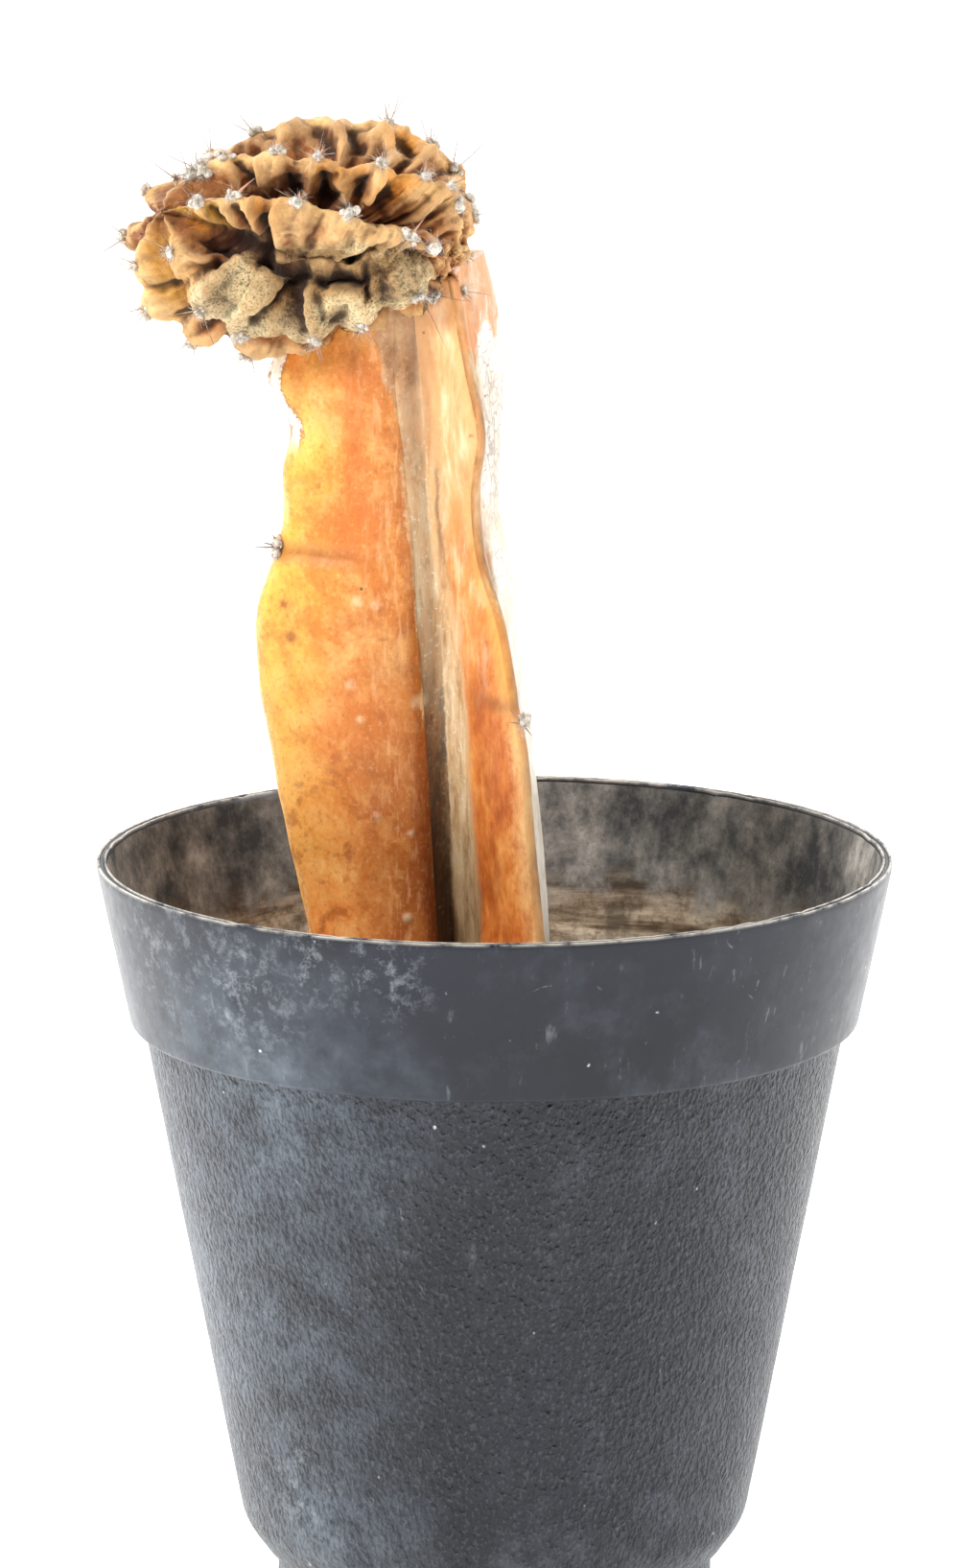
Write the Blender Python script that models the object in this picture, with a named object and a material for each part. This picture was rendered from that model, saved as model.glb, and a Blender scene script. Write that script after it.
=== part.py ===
"""A dead grafted cactus in its plastic nursery pot.

The shrivelled, ribbed head (the scion) sags to one side on top of a dried three-winged
rootstock, which stands in dry soil. Shapes are worked out in millimetres and turned into
metres where a mesh is made. +Z is up, -Y is the front, and the origin is at the middle of
the pot's foot, on the surface that it stands on.
"""
import math
from collections import namedtuple

import bmesh
import bpy
import numpy as np

MM = 0.001
GAP = 0.3                       # left between pieces that touch

# Pot
POT_HEIGHT = 84.0
RIM_RADIUS = 45.0
BAND_BOTTOM = 65.4              # lower edge of the smooth band under the rim
BAND_RADIUS = 41.3              # the band at its lower edge
BODY_TOP_RADIUS = 39.8
BODY_BOTTOM_RADIUS = 28.8
BODY_BOTTOM = 7.5
FOOT_RADIUS = 24.9
FOOT_HEIGHT = 3.5
FOOT_RING = 3.4                 # width of the ring that the pot stands on
FOOT_RECESS = 1.6
WALL = 1.2
LIP = 0.5                       # how far the rim's edges are taken off
BAND_STEP = 0.3                 # height of the step under the band
SHOULDER = 0.6                  # slope where the wall narrows under the band, inside
POT_SEGMENTS = 40
HOLE_RADIUS = 3.5
HOLE_CIRCLE = 14.0
HOLE_COUNT = 5

# Soil
SOIL_TOP = 61.5
SOIL_EDGE_DROP = 2.0            # the crust starts this far below the top, at the wall
SOIL_SHARES = (0.985, 0.8, 0.6, 0.38, 0.16)
SOIL_SEGMENTS = 24

# Rootstock: where its axis runs, as (height, x, y)
STALK_BOTTOM = 42.0
STALK_TOP = 151.0
STALK_AXIS = [(42, -3.0, 0.0), (76, -4.6, 0.0), (107, -5.9, 0.0), (133, -7.9, 0.0), (151, -9.2, 0.0)]
STALK_ROWS = [42, 50, 58, 66, 74, 82, 90, 97, 103, 108, 113, 118, 122, 127, 132, 137, 141, 145, 149, 151]
# Each wing: its direction in degrees, then (height, reach from the axis)
LEFT_WING = 182
LEFT_REACH = [(42, 12.0), (58, 14.5), (76, 16.6), (96, 19.8), (107, 20.9), (112, 20.5), (118, 18.3),
              (123, 16.5), (128, 16.2), (133, 14.9), (139, 17.0), (143, 15.0), (151, 9.0)]
FRONT_WING = 297
FRONT_REACH = [(42, 17.0), (58, 20.5), (76, 22.0), (90, 20.2), (100, 19.2), (106, 17.4), (113, 15.6),
               (120, 11.8), (128, 12.0), (134, 14.4), (141, 12.6), (151, 10.0)]
BACK_WING = 62
BACK_REACH = [(42, 17.0), (58, 20.5), (74, 22.0), (90, 20.2), (100, 19.0), (114, 17.2), (121, 15.4),
              (128, 16.4), (134, 18.2), (143, 18.6), (151, 16.0)]
# A wing's flank from its edge inwards, as (share of the reach, half thickness)
THIN_FLANK = [(0.985, 0.9), (0.84, 1.7), (0.64, 2.5), (0.46, 3.1), (0.30, 3.4)]
GROOVE_FLANK = [(0.985, 0.8), (0.86, 1.5), (0.70, 2.0), (0.54, 2.3), (0.42, 2.4)]
PUFFY_FLANK = [(0.97, 1.2), (0.81, 3.5), (0.57, 6.3), (0.38, 8.0), (0.24, 8.6), (0.16, 7.9), (0.12, 6.0)]
# The valleys between the wings, as (direction, distance from the axis)
FRONT_GROOVE = [(252, 4.9), (270, 4.3)]
RIGHT_VALLEY = [(0, 5.4)]
BACK_VALLEY = [(122, 5.4)]

# Scion: a ball that has shrunk lengthwise into folds. Its long axis runs from SCION_NEAR,
# over the rootstock, to SCION_FAR, at the drooping end.
SCION_NEAR = (-3.0, -6.0, 159.2)
SCION_FAR = (-40.6, 2.0, 151.6)
SCION_GIRTH = 13.4
BLUNTNESS = 0.85
# The ribs run from the root pole to the crown pole, both given on the unit ball
# as (along the long axis, up, towards the front)
ROOT_POLE = (-0.92, -0.28, 0.28)
CROWN_POLE = (0.63, 0.40, 0.66)
# Each rib: the angle of its crest near the root, halfway and near the crown, then the same for
# the valley after it, that valley's depth at the same three places, where the areoles sit along
# the crest, how many columns of faces lie before and after it, and how far it withers by the crown
Rib = namedtuple("Rib", "crest valley depth areoles columns wither")
RIBS = [
    Rib((-34, -26, -34), (-2, 12, -24), (0.36, 0.36, 0.36),
        (0.12, 0.20, 0.29, 0.40, 0.53, 0.68, 0.82), (3, 3), 0.20),
    Rib((4, 25, -12), (62, 58, 38), (0.46, 0.52, 0.44),
        (0.11, 0.17, 0.25, 0.38, 0.55, 0.66, 0.78), (2, 3), 0.05),
    Rib((84, 66, 52), (108, 125, 114), (0.34, 0.42, 0.54),
        (0.12, 0.22, 0.42, 0.57, 0.76, 0.88), (2, 3), 0.0),
    Rib((166, 178, 158), (184, 190, 186), (0.26, 0.28, 0.28),
        (0.16, 0.30, 0.40, 0.56, 0.68, 0.86), (5, 2), 0.0),
    Rib((200, 203, 212), (214, 222, 228), (0.30, 0.32, 0.30),
        (0.13, 0.24, 0.37, 0.50, 0.62, 0.74, 0.85), (2, 2), 0.0),
    Rib((232, 240, 244), (246, 256, 260), (0.30, 0.32, 0.30),
        (0.15, 0.28, 0.42, 0.56, 0.70, 0.83), (2, 2), 0.0),
    Rib((262, 272, 276), (278, 288, 292), (0.30, 0.32, 0.30),
        (0.13, 0.26, 0.40, 0.54, 0.68, 0.82), (2, 2), 0.08),
    Rib((292, 300, 302), (308, 317, 316), (0.28, 0.30, 0.28),
        (0.15, 0.28, 0.42, 0.57, 0.72, 0.85), (2, 2), 0.18),
]
RIB_ROWS = 32
CREST_ROUNDING = 0.16
FLANK_HOLLOW = 0.45             # share of a valley's depth that falls away as a curve
POLE_FADE = 0.6                 # how gently the ribs begin at the poles
FOLD_HEIGHT = 1.5               # folds that run down the flanks from each areole
CREST_NICK = 0.7                # how far the crest sinks between two areoles
WITHER_GROWTH = 1.6
CROWN_DIMPLE = 0.08
WOOL_RADIUS = 0.95
WOOL_RISE = 0.25
SPINE_LENGTH = 4.6
SPINE_SPREAD = 0.75
SPINE_THICKNESS = 0.22          # how far a spine's foot is inset from the edges of its wool face
SPINE_FACES = (0, 3, 5)         # the wool faces that spines grow from, counted from the outermost
SPINE_LIMIT = RIM_RADIUS - 0.7  # the spines reach out to here on the drooping side


def clear_scene():
    for item in list(bpy.data.objects):
        bpy.data.objects.remove(item, do_unlink=True)


def material(name, colour, roughness):
    made = bpy.data.materials.new(name)
    made.use_nodes = True
    shader = made.node_tree.nodes["Principled BSDF"]
    shader.inputs["Base Color"].default_value = (*colour, 1.0)
    shader.inputs["Roughness"].default_value = roughness
    shader.inputs["Metallic"].default_value = 0.0
    return made


def add_object(name, mesh, look=None):
    made = bpy.data.objects.new(name, mesh)
    bpy.context.collection.objects.link(made)
    if look:
        mesh.materials.append(look)
    return made


def finish_mesh(bm, name, sharp_angle=35):
    """Outward faces, then a smooth-shaded mesh with its hard edges kept."""
    bmesh.ops.recalc_face_normals(bm, faces=bm.faces)
    mesh = bpy.data.meshes.new(name)
    bm.to_mesh(mesh)
    bm.free()
    mesh.shade_smooth()
    mesh.set_sharp_from_angle(angle=math.radians(sharp_angle))
    return mesh


def boolean(target, other, operation):
    """Keeps the result of one exact Boolean on the target and drops the other object."""
    step = target.modifiers.new(operation.title(), "BOOLEAN")
    step.operation = operation
    step.solver = "EXACT"
    step.object = other
    bpy.context.view_layer.update()
    ready = target.evaluated_get(bpy.context.evaluated_depsgraph_get())
    old = target.data
    target.data = bpy.data.meshes.new_from_object(ready)
    target.modifiers.clear()
    bpy.data.meshes.remove(old)
    bpy.data.objects.remove(other, do_unlink=True)


def drop_crumbs(target):
    """Deletes the loose bits that a cut leaves beside the largest body."""
    bm = bmesh.new()
    bm.from_mesh(target.data)
    unseen = set(bm.verts)
    bodies = []
    while unseen:
        body = {unseen.pop()}
        edge = set(body)
        while edge:
            edge = {e.other_vert(v) for v in edge for e in v.link_edges} - body
            body |= edge
        unseen -= body
        bodies.append(body)
    bodies.sort(key=len)
    crumbs = [v for body in bodies[:-1] for v in body]
    bmesh.ops.delete(bm, geom=crumbs, context="VERTS")
    bm.to_mesh(target.data)
    bm.free()


def loft(rings, name, tip_low=None, tip_high=None):
    """Skins a stack of closed rings, each end closed by a fan to a tip or by one face."""
    bm = bmesh.new()
    rows = [[bm.verts.new(point * MM) for point in ring] for ring in rings]
    count = len(rows[0])
    for low, high in zip(rows, rows[1:]):
        for i in range(count):
            j = (i + 1) % count
            bm.faces.new((low[i], low[j], high[j]))
            bm.faces.new((low[i], high[j], high[i]))
    for row, tip in ((rows[0], tip_low), (rows[-1], tip_high)):
        if tip is None:
            bm.faces.new(row)
            continue
        end = bm.verts.new(tip * MM)
        for i in range(count):
            bm.faces.new((row[i], row[(i + 1) % count], end))
    return finish_mesh(bm, name)


def smooth(table, at):
    """Reads a table of (position, value, ...) rows along a smooth curve."""
    table = np.asarray(table, float)
    where, values = table[:, 0], table[:, 1:]
    slope = np.gradient(values, where, axis=0)
    at = np.clip(at, where[0], where[-1])
    i = int(np.clip(np.searchsorted(where, at, side="right") - 1, 0, len(where) - 2))
    span = where[i + 1] - where[i]
    u = (at - where[i]) / span
    start = values[i] * (2 * u**3 - 3 * u**2 + 1) + slope[i] * span * (u**3 - 2 * u**2 + u)
    return start + values[i + 1] * (3 * u**2 - 2 * u**3) + slope[i + 1] * span * (u**3 - u**2)


def unit(vector):
    vector = np.asarray(vector, float)
    return vector / np.linalg.norm(vector)


# ---------------------------------------------------------------- pot

def pot_outline():
    """Half section of the pot, from the middle of its underside round to its floor."""
    rim_inside = RIM_RADIUS - WALL
    band_inside = BAND_RADIUS - WALL
    floor = FOOT_RECESS + WALL
    return [
        (0.0, FOOT_RECESS), (FOOT_RADIUS - FOOT_RING - 0.6, FOOT_RECESS), (FOOT_RADIUS - FOOT_RING, 0.0),
        (FOOT_RADIUS, 0.0), (FOOT_RADIUS, FOOT_HEIGHT), (FOOT_RADIUS + 1.1, FOOT_HEIGHT + 0.2),
        (BODY_BOTTOM_RADIUS, BODY_BOTTOM), (BODY_TOP_RADIUS, BAND_BOTTOM - BAND_STEP / 2),
        (BAND_RADIUS, BAND_BOTTOM + BAND_STEP / 2), (RIM_RADIUS, POT_HEIGHT - LIP),
        (RIM_RADIUS - LIP / 2, POT_HEIGHT), (rim_inside + LIP / 2, POT_HEIGHT),
        (rim_inside, POT_HEIGHT - LIP), (band_inside, BAND_BOTTOM + 2.0),
        (BODY_TOP_RADIUS - WALL - SHOULDER, BAND_BOTTOM - SHOULDER),
        (BODY_BOTTOM_RADIUS - WALL, BODY_BOTTOM + 0.8), (FOOT_RADIUS - 0.9, floor + 0.6),
        (FOOT_RADIUS - 2.5, floor), (0.0, floor),
    ]


def make_pot(look):
    bm = bmesh.new()
    points = [bm.verts.new((radius * MM, 0.0, height * MM)) for radius, height in pot_outline()]
    edges = [bm.edges.new(pair) for pair in zip(points, points[1:])]
    bmesh.ops.spin(bm, geom=points + edges, axis=(0, 0, 1), cent=(0, 0, 0), angle=math.tau,
                   steps=POT_SEGMENTS, use_merge=True)
    bmesh.ops.remove_doubles(bm, verts=bm.verts, dist=0.00001)
    pot = add_object("pot", finish_mesh(bm, "pot"), look)
    boolean(pot, drain_cutter(), "DIFFERENCE")
    return pot


def drain_cutter():
    """The drain holes in the floor, as one object of upright cylinders."""
    bm = bmesh.new()
    for i in range(HOLE_COUNT):
        turn = math.tau * i / HOLE_COUNT
        made = bmesh.ops.create_cone(bm, cap_ends=True, segments=12, radius1=HOLE_RADIUS * MM,
                                     radius2=HOLE_RADIUS * MM, depth=0.010)
        offset = (HOLE_CIRCLE * math.cos(turn) * MM, HOLE_CIRCLE * math.sin(turn) * MM, 0.002)
        bmesh.ops.translate(bm, verts=made["verts"], vec=offset)
    cutter = add_object("drain_cutter", finish_mesh(bm, "drain_cutter"))
    cutter.display_type = "WIRE"
    cutter.hide_render = True
    return cutter


# ---------------------------------------------------------------- rootstock

def heading(turn):
    return np.array([math.cos(math.radians(turn)), math.sin(math.radians(turn)), 0.0])


def flank(centre, direction, reach, table, side):
    across = heading(direction + 90 * side)
    return [centre + heading(direction) * share * reach + across * half for share, half in table]


def stalk_section(height):
    """The outline of the rootstock at one height: three wings with valleys between them."""
    centre = np.array([*smooth(STALK_AXIS, height), height])
    ring = []
    wings = (
        (BACK_WING, BACK_REACH, THIN_FLANK, THIN_FLANK, BACK_VALLEY),
        (LEFT_WING, LEFT_REACH, THIN_FLANK, PUFFY_FLANK, FRONT_GROOVE),
        (FRONT_WING, FRONT_REACH, GROOVE_FLANK, THIN_FLANK, RIGHT_VALLEY),
    )
    for direction, reaches, before, after, gutter in wings:
        reach = smooth(reaches, height)[0]
        ring += flank(centre, direction, reach, before, -1)[::-1]
        ring += flank(centre, direction, reach, [(1.0, 0.0)] + after, 1)
        ring += [centre + heading(turn) * radius for turn, radius in gutter]
    return ring


def grown(ring, margin):
    """A level outline moved outwards all round by a margin."""
    moved = []
    for before, here, after in zip(ring[-1:] + ring[:-1], ring, ring[1:] + ring[:1]):
        first = np.cross(unit(here - before), (0, 0, 1))
        second = np.cross(unit(after - here), (0, 0, 1))
        out = unit(first + second)
        moved.append(here + out * margin / max(float(out @ first), 0.5))
    return moved


def stalk_mesh(name, margin=0.0):
    """The rootstock's skin; with a margin it is the room that other pieces leave for it."""
    rings = []
    for height in STALK_ROWS:
        ring = grown(stalk_section(height), margin)
        drop = margin * ((height == STALK_TOP) - (height == STALK_BOTTOM))
        rings.append([point + np.array([0.0, 0.0, drop]) for point in ring])
    return loft(rings, name)


def make_rootstock(look):
    return add_object("rootstock", stalk_mesh("rootstock"), look)


def rootstock_room(name):
    room = add_object(name, stalk_mesh(name, GAP))
    room.display_type = "WIRE"
    room.hide_render = True
    return room


# ---------------------------------------------------------------- soil

def soil_level(x, y):
    """Height of the uneven top of the soil."""
    lumps = 0.8 * math.sin(0.31 * x + 0.9) * math.cos(0.27 * y - 0.4) + 0.4 * math.sin(0.63 * y + 0.5 * x)
    return SOIL_TOP + lumps - 0.9 * (math.hypot(x, y) / BODY_TOP_RADIUS) ** 2


def wall_inside(height):
    """Radius of the pot's inner face below the band."""
    outline = pot_outline()
    (high_r, high_z), (low_r, low_z) = outline[-5], outline[-4]
    return low_r + (high_r - low_r) * (height - low_z) / (high_z - low_z)


def make_soil(look):
    floor = FOOT_RECESS + WALL + GAP
    low = BODY_BOTTOM + 1.6
    edge = SOIL_TOP - SOIL_EDGE_DROP
    room = 1.5 * GAP
    widest = wall_inside(edge) - room
    side = [(FOOT_RADIUS - 3.0, floor), (wall_inside(low) - 1.6 * room, low), (widest, edge)]
    turns = [math.tau * i / SOIL_SEGMENTS for i in range(SOIL_SEGMENTS)]
    rings = []
    for radius, height in side:
        rings.append([np.array([radius * math.cos(t), radius * math.sin(t), height]) for t in turns])
    for share in SOIL_SHARES:
        spots = [(share * widest * math.cos(t), share * widest * math.sin(t)) for t in turns]
        rings.append([np.array([x, y, soil_level(x, y)]) for x, y in spots])
    mesh = loft(rings, "soil", np.array([0.0, 0.0, floor]), np.array([0.0, 0.0, soil_level(0, 0)]))
    soil = add_object("soil", mesh, look)
    boolean(soil, rootstock_room("soil_room"), "DIFFERENCE")
    return soil


# ---------------------------------------------------------------- scion

LONG_AXIS = unit(np.subtract(SCION_FAR, SCION_NEAR))
UPWARD = unit(np.array([0.0, 0.0, 1.0]) - LONG_AXIS * LONG_AXIS[2])
FRONTWARD = np.cross(UPWARD, LONG_AXIS)
SCION_MIDDLE = np.add(SCION_NEAR, SCION_FAR) / 2
SCION_HALF = float(np.linalg.norm(np.subtract(SCION_FAR, SCION_NEAR))) / 2

ROOT = unit(ROOT_POLE)
CROWN = unit(CROWN_POLE)
CHORD = unit(CROWN - ROOT)
CHORD_MIDDLE = (CROWN + ROOT) / 2
SIDE = unit(np.array([0.0, 1.0, 0.0]) - CHORD * CHORD[1])
FRONT = np.cross(CHORD, SIDE)


def ball_point(share, turn):
    """Point of the unit ball on the arc between the poles that lies at this turn, in degrees."""
    normal = SIDE * math.cos(math.radians(turn)) + FRONT * math.sin(math.radians(turn))
    sink = -float(CHORD_MIDDLE @ normal)
    radius = math.sqrt(1 - float(CHORD_MIDDLE @ CHORD_MIDDLE) + sink * sink)
    reach = math.acos(-sink / radius)
    swing = (2 * share - 1) * reach
    return CHORD_MIDDLE + normal * (sink + radius * math.cos(swing)) + CHORD * (radius * math.sin(swing))


def skin_point(share, turn, shrink, lift):
    """Point of the scion's skin: the long ball, shrunk towards its middle and lifted outwards."""
    ball = ball_point(share, turn)
    around = math.hypot(ball[1], ball[2])
    girth = SCION_GIRTH * max(around, 0.02) ** (BLUNTNESS - 1)
    offset = LONG_AXIS * ball[0] * SCION_HALF + UPWARD * ball[1] * girth + FRONTWARD * ball[2] * girth
    return SCION_MIDDLE + offset * (1 - shrink) + unit(offset) * lift


def bend(three, share):
    """A value given near the root, halfway and near the crown, read along a parabola."""
    near, half, far = three
    u = (share - 0.5) / 0.32
    return half + u * (far - near) / 2 + u * u * ((near + far) / 2 - half)


def fold_phase(areoles, share):
    """Counts areoles along a crest: whole numbers on them, halves between them."""
    return float(np.interp(share, (0.0, *areoles, 1.0), range(len(areoles) + 2)))


def wither_loss(index, share, across):
    """How far the skin has shrunk in as a whole, blended from one rib to the next."""
    beside = RIBS[(index + (1 if across > 0 else -1)) % len(RIBS)]
    mean = RIBS[index].wither + (beside.wither - RIBS[index].wither) * 0.5 * abs(across)
    return WITHER_GROWTH * mean * share * share


def rib_skin(index, share, across):
    """Skin of one rib: across runs from -1, in the valley before, over its crest to 1."""
    rib = RIBS[index]
    valley = rib if across > 0 else RIBS[index - 1]
    turn_crest = bend(rib.crest, share)
    turn_valley = bend(valley.valley, share)
    if across < 0 and index == 0:
        turn_valley -= 360
    away = abs(across)
    turn = turn_crest + (turn_valley - turn_crest) * away
    fade = math.sin(math.pi * share) ** POLE_FADE
    steep = math.hypot(away, CREST_ROUNDING) - CREST_ROUNDING
    bottom = math.hypot(1, CREST_ROUNDING) - CREST_ROUNDING
    fall = (1 - FLANK_HOLLOW) * steep / bottom + FLANK_HOLLOW * (steep / bottom) ** 2
    shrink = fade * (bend(valley.depth, share) * fall + wither_loss(index, share, across))
    wave = 2 * abs(math.cos(math.pi * fold_phase(rib.areoles, share))) - 1
    fold = FOLD_HEIGHT * wave * 4 * away * (1 - away)
    nick = CREST_NICK * (wave - 1) * (1 - away) ** 2
    return skin_point(share, turn, shrink, fade * (fold + nick))


def areole_mesh(bm, index, share):
    """A tuft of wool on the crest, with spines drawn out of some of its faces."""
    here = rib_skin(index, share, 0.0)
    outward = unit(here - SCION_MIDDLE)
    centre = (here + outward * WOOL_RISE) * MM
    ball = bmesh.ops.create_icosphere(bm, subdivisions=1, radius=WOOL_RADIUS * MM)
    bmesh.ops.translate(bm, verts=ball["verts"], vec=centre)
    faces = sorted({face for vert in ball["verts"] for face in vert.link_faces},
                   key=lambda face: -float(np.dot(np.array(face.calc_center_median()) - centre, outward)))
    for number, face in enumerate(faces[i] for i in SPINE_FACES):
        lean = unit(np.array(face.calc_center_median()) - centre)
        length = SPINE_LENGTH * (1.0 - 0.16 * ((index + number + int(share * 20)) % 3))
        tip = centre + unit(outward * (1 - SPINE_SPREAD) + lean) * length * MM
        tip[0] = max(tip[0], -SPINE_LIMIT * MM)
        bmesh.ops.inset_individual(bm, faces=[face], thickness=WOOL_RADIUS * SPINE_THICKNESS * MM)
        made = bmesh.ops.poke(bm, faces=[face])
        made["verts"][0].co = tip


def rib_columns():
    """Where the columns of faces run, as (rib, place across it), once round the scion."""
    columns = []
    for index, rib in enumerate(RIBS):
        before, after = rib.columns
        columns += [(index, -i / before) for i in range(before, 0, -1)]
        columns += [(index, i / after) for i in range(after)]
    return columns


def make_scion(look):
    shares = [0.5 - 0.5 * math.cos(math.pi * i / RIB_ROWS) for i in range(1, RIB_ROWS)]
    rings = [[rib_skin(index, share, across) for index, across in rib_columns()] for share in shares]
    root_end, crown_end = skin_point(0, 0, 0, 0), skin_point(1, 0, CROWN_DIMPLE, 0)
    body = add_object("scion", loft(rings, "scion", root_end, crown_end), look)
    bm = bmesh.new()
    for index, rib in enumerate(RIBS):
        for share in rib.areoles:
            areole_mesh(bm, index, share)
    tufts = add_object("tufts", finish_mesh(bm, "tufts"))
    boolean(body, tufts, "UNION")
    boolean(body, rootstock_room("scion_room"), "DIFFERENCE")
    drop_crumbs(body)
    return body


def main():
    clear_scene()
    make_pot(material("grey plastic", (0.052, 0.053, 0.060), 0.55))
    make_soil(material("dry soil", (0.130, 0.085, 0.050), 0.95))
    make_rootstock(material("dried stem", (0.720, 0.270, 0.070), 0.60))
    make_scion(material("shrivelled skin", (0.360, 0.190, 0.080), 0.75))


main()
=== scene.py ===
"""Looks of the dead grafted cactus in its nursery pot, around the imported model."""
import math
from collections import namedtuple

import bmesh
import bpy
import numpy as np
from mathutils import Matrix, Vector


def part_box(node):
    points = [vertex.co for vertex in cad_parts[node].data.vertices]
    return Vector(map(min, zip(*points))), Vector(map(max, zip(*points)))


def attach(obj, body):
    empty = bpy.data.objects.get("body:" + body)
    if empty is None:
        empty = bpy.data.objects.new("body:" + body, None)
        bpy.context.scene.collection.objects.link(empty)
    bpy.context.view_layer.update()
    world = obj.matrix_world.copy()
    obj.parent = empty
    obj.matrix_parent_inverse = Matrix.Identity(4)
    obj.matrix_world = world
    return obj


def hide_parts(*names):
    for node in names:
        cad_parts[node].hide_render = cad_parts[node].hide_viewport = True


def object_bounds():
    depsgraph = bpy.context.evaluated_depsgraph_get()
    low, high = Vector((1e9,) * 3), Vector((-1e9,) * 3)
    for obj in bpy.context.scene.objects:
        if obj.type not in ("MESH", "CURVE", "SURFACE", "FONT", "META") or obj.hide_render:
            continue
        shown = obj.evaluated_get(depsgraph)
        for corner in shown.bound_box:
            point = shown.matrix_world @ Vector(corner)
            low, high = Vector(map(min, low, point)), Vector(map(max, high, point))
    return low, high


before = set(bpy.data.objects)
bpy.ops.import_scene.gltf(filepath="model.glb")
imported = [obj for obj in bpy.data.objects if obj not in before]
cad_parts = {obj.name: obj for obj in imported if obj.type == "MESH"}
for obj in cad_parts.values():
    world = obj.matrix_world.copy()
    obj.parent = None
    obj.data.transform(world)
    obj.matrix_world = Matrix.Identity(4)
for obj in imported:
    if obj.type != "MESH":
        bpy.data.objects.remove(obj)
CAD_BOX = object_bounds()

MM = 0.001
SEED = 7
rng = np.random.default_rng(SEED)

POT_HIGH = np.array(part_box("pot")[1]) / MM
SOIL_LOW, SOIL_HIGH = (np.array(corner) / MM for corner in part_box("soil"))
CAD_LOW, CAD_HIGH = (np.array(corner) / MM for corner in CAD_BOX)
STALK_LOW, STALK_HIGH = (np.array(corner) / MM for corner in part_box("rootstock"))


# ---------------------------------------------------------------- numbers and curves

def unit(vectors):
    vectors = np.asarray(vectors, float)
    return vectors / np.maximum(np.linalg.norm(vectors, axis=-1, keepdims=True), 1e-12)


def hermite(start, start_slope, end, end_slope, u):
    """A curve from start to end, leaving and arriving along the two slopes."""
    return (start * (2 * u**3 - 3 * u**2 + 1) + start_slope * (u**3 - 2 * u**2 + u)
            + end * (3 * u**2 - 2 * u**3) + end_slope * (u**3 - u**2))


def smooth(table, at):
    """Reads a table of (position, value, ...) rows along a smooth curve, at many positions."""
    table = np.asarray(table, float)
    where, values = table[:, 0], table[:, 1:]
    slope = np.gradient(values, where, axis=0)
    at = np.clip(np.asarray(at, float), where[0], where[-1])
    i = np.clip(np.searchsorted(where, at, side="right") - 1, 0, len(where) - 2)
    span = (where[i + 1] - where[i])[..., None]
    u = (at - where[i])[..., None] / span
    return hermite(values[i], slope[i] * span, values[i + 1], slope[i + 1] * span, u)


def smooth_step(values, low, high):
    """0 below the low limit, 1 above the high one, with a soft change between."""
    t = np.clip((values - low) / (high - low), 0, 1)
    return t * t * (3 - 2 * t)


def hash_lattice(i, j, k, seed):
    """A repeatable random value from 0 to 1 at each whole-numbered point."""
    mixed = (i * 374761393 + j * 668265263 + k * 2147483647 + seed * 974634777) & 0xFFFFFFFF
    mixed = ((mixed ^ (mixed >> 13)) * 1274126177) & 0xFFFFFFFF
    return ((mixed ^ (mixed >> 16)) & 0xFFFF) / 65535.0


def noise(points, size, seed=0, octaves=1):
    """Smooth value noise from -1 to 1 with lumps of about this size, in millimetres."""
    total = np.zeros(points.shape[:-1])
    weight, scale, whole = 1.0, 1.0 / size, 0.0
    for octave in range(octaves):
        spot = points * scale + 31.7 * octave
        cell = np.floor(spot).astype(np.int64)
        f = spot - cell
        f = f * f * (3 - 2 * f)
        value = np.zeros(points.shape[:-1])
        for dx in (0, 1):
            for dy in (0, 1):
                for dz in (0, 1):
                    share = (f[..., 0] if dx else 1 - f[..., 0]) * (f[..., 1] if dy else 1 - f[..., 1])
                    share = share * (f[..., 2] if dz else 1 - f[..., 2])
                    corner = np.moveaxis(cell + (dx, dy, dz), -1, 0)
                    value += share * hash_lattice(*corner, seed + octave)
        total += weight * (2 * value - 1)
        whole += weight
        weight *= 0.5
        scale *= 2.0
    return total / whole


# ---------------------------------------------------------------- meshes

def mesh_from(name, points, faces):
    """A smooth-shaded mesh object from points in millimetres and an array of quads or triangles."""
    mesh = bpy.data.meshes.new(name)
    faces = np.asarray(faces, np.int32)
    corners = faces.shape[1]
    mesh.vertices.add(len(points))
    mesh.vertices.foreach_set("co", (np.asarray(points, float) * MM).astype(np.float32).ravel())
    mesh.loops.add(faces.size)
    mesh.loops.foreach_set("vertex_index", faces.ravel())
    mesh.polygons.add(len(faces))
    mesh.polygons.foreach_set("loop_start", np.arange(0, faces.size, corners, dtype=np.int32))
    mesh.polygons.foreach_set("loop_total", np.full(len(faces), corners, np.int32))
    mesh.update(calc_edges=True)
    mesh.validate()
    mesh.shade_smooth()
    made = bpy.data.objects.new(name, mesh)
    bpy.context.scene.collection.objects.link(made)
    return made


def grid_faces(rows, columns, wrap=True, start=0):
    """Quads of a grid of points, joined round its columns if it wraps."""
    last = columns if wrap else columns - 1
    r, c = np.meshgrid(np.arange(rows - 1), np.arange(last), indexing="ij")
    d = (c + 1) % columns
    quads = np.stack([r * columns + c, r * columns + d, (r + 1) * columns + d, (r + 1) * columns + c], -1)
    return quads.reshape(-1, 4) + start


def carry(obj, name, value):
    """Stores one number for each vertex, for the materials to read."""
    layer = obj.data.attributes.new(name, "FLOAT", "POINT")
    layer.data.foreach_set("value", np.asarray(value, np.float32).ravel())


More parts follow.
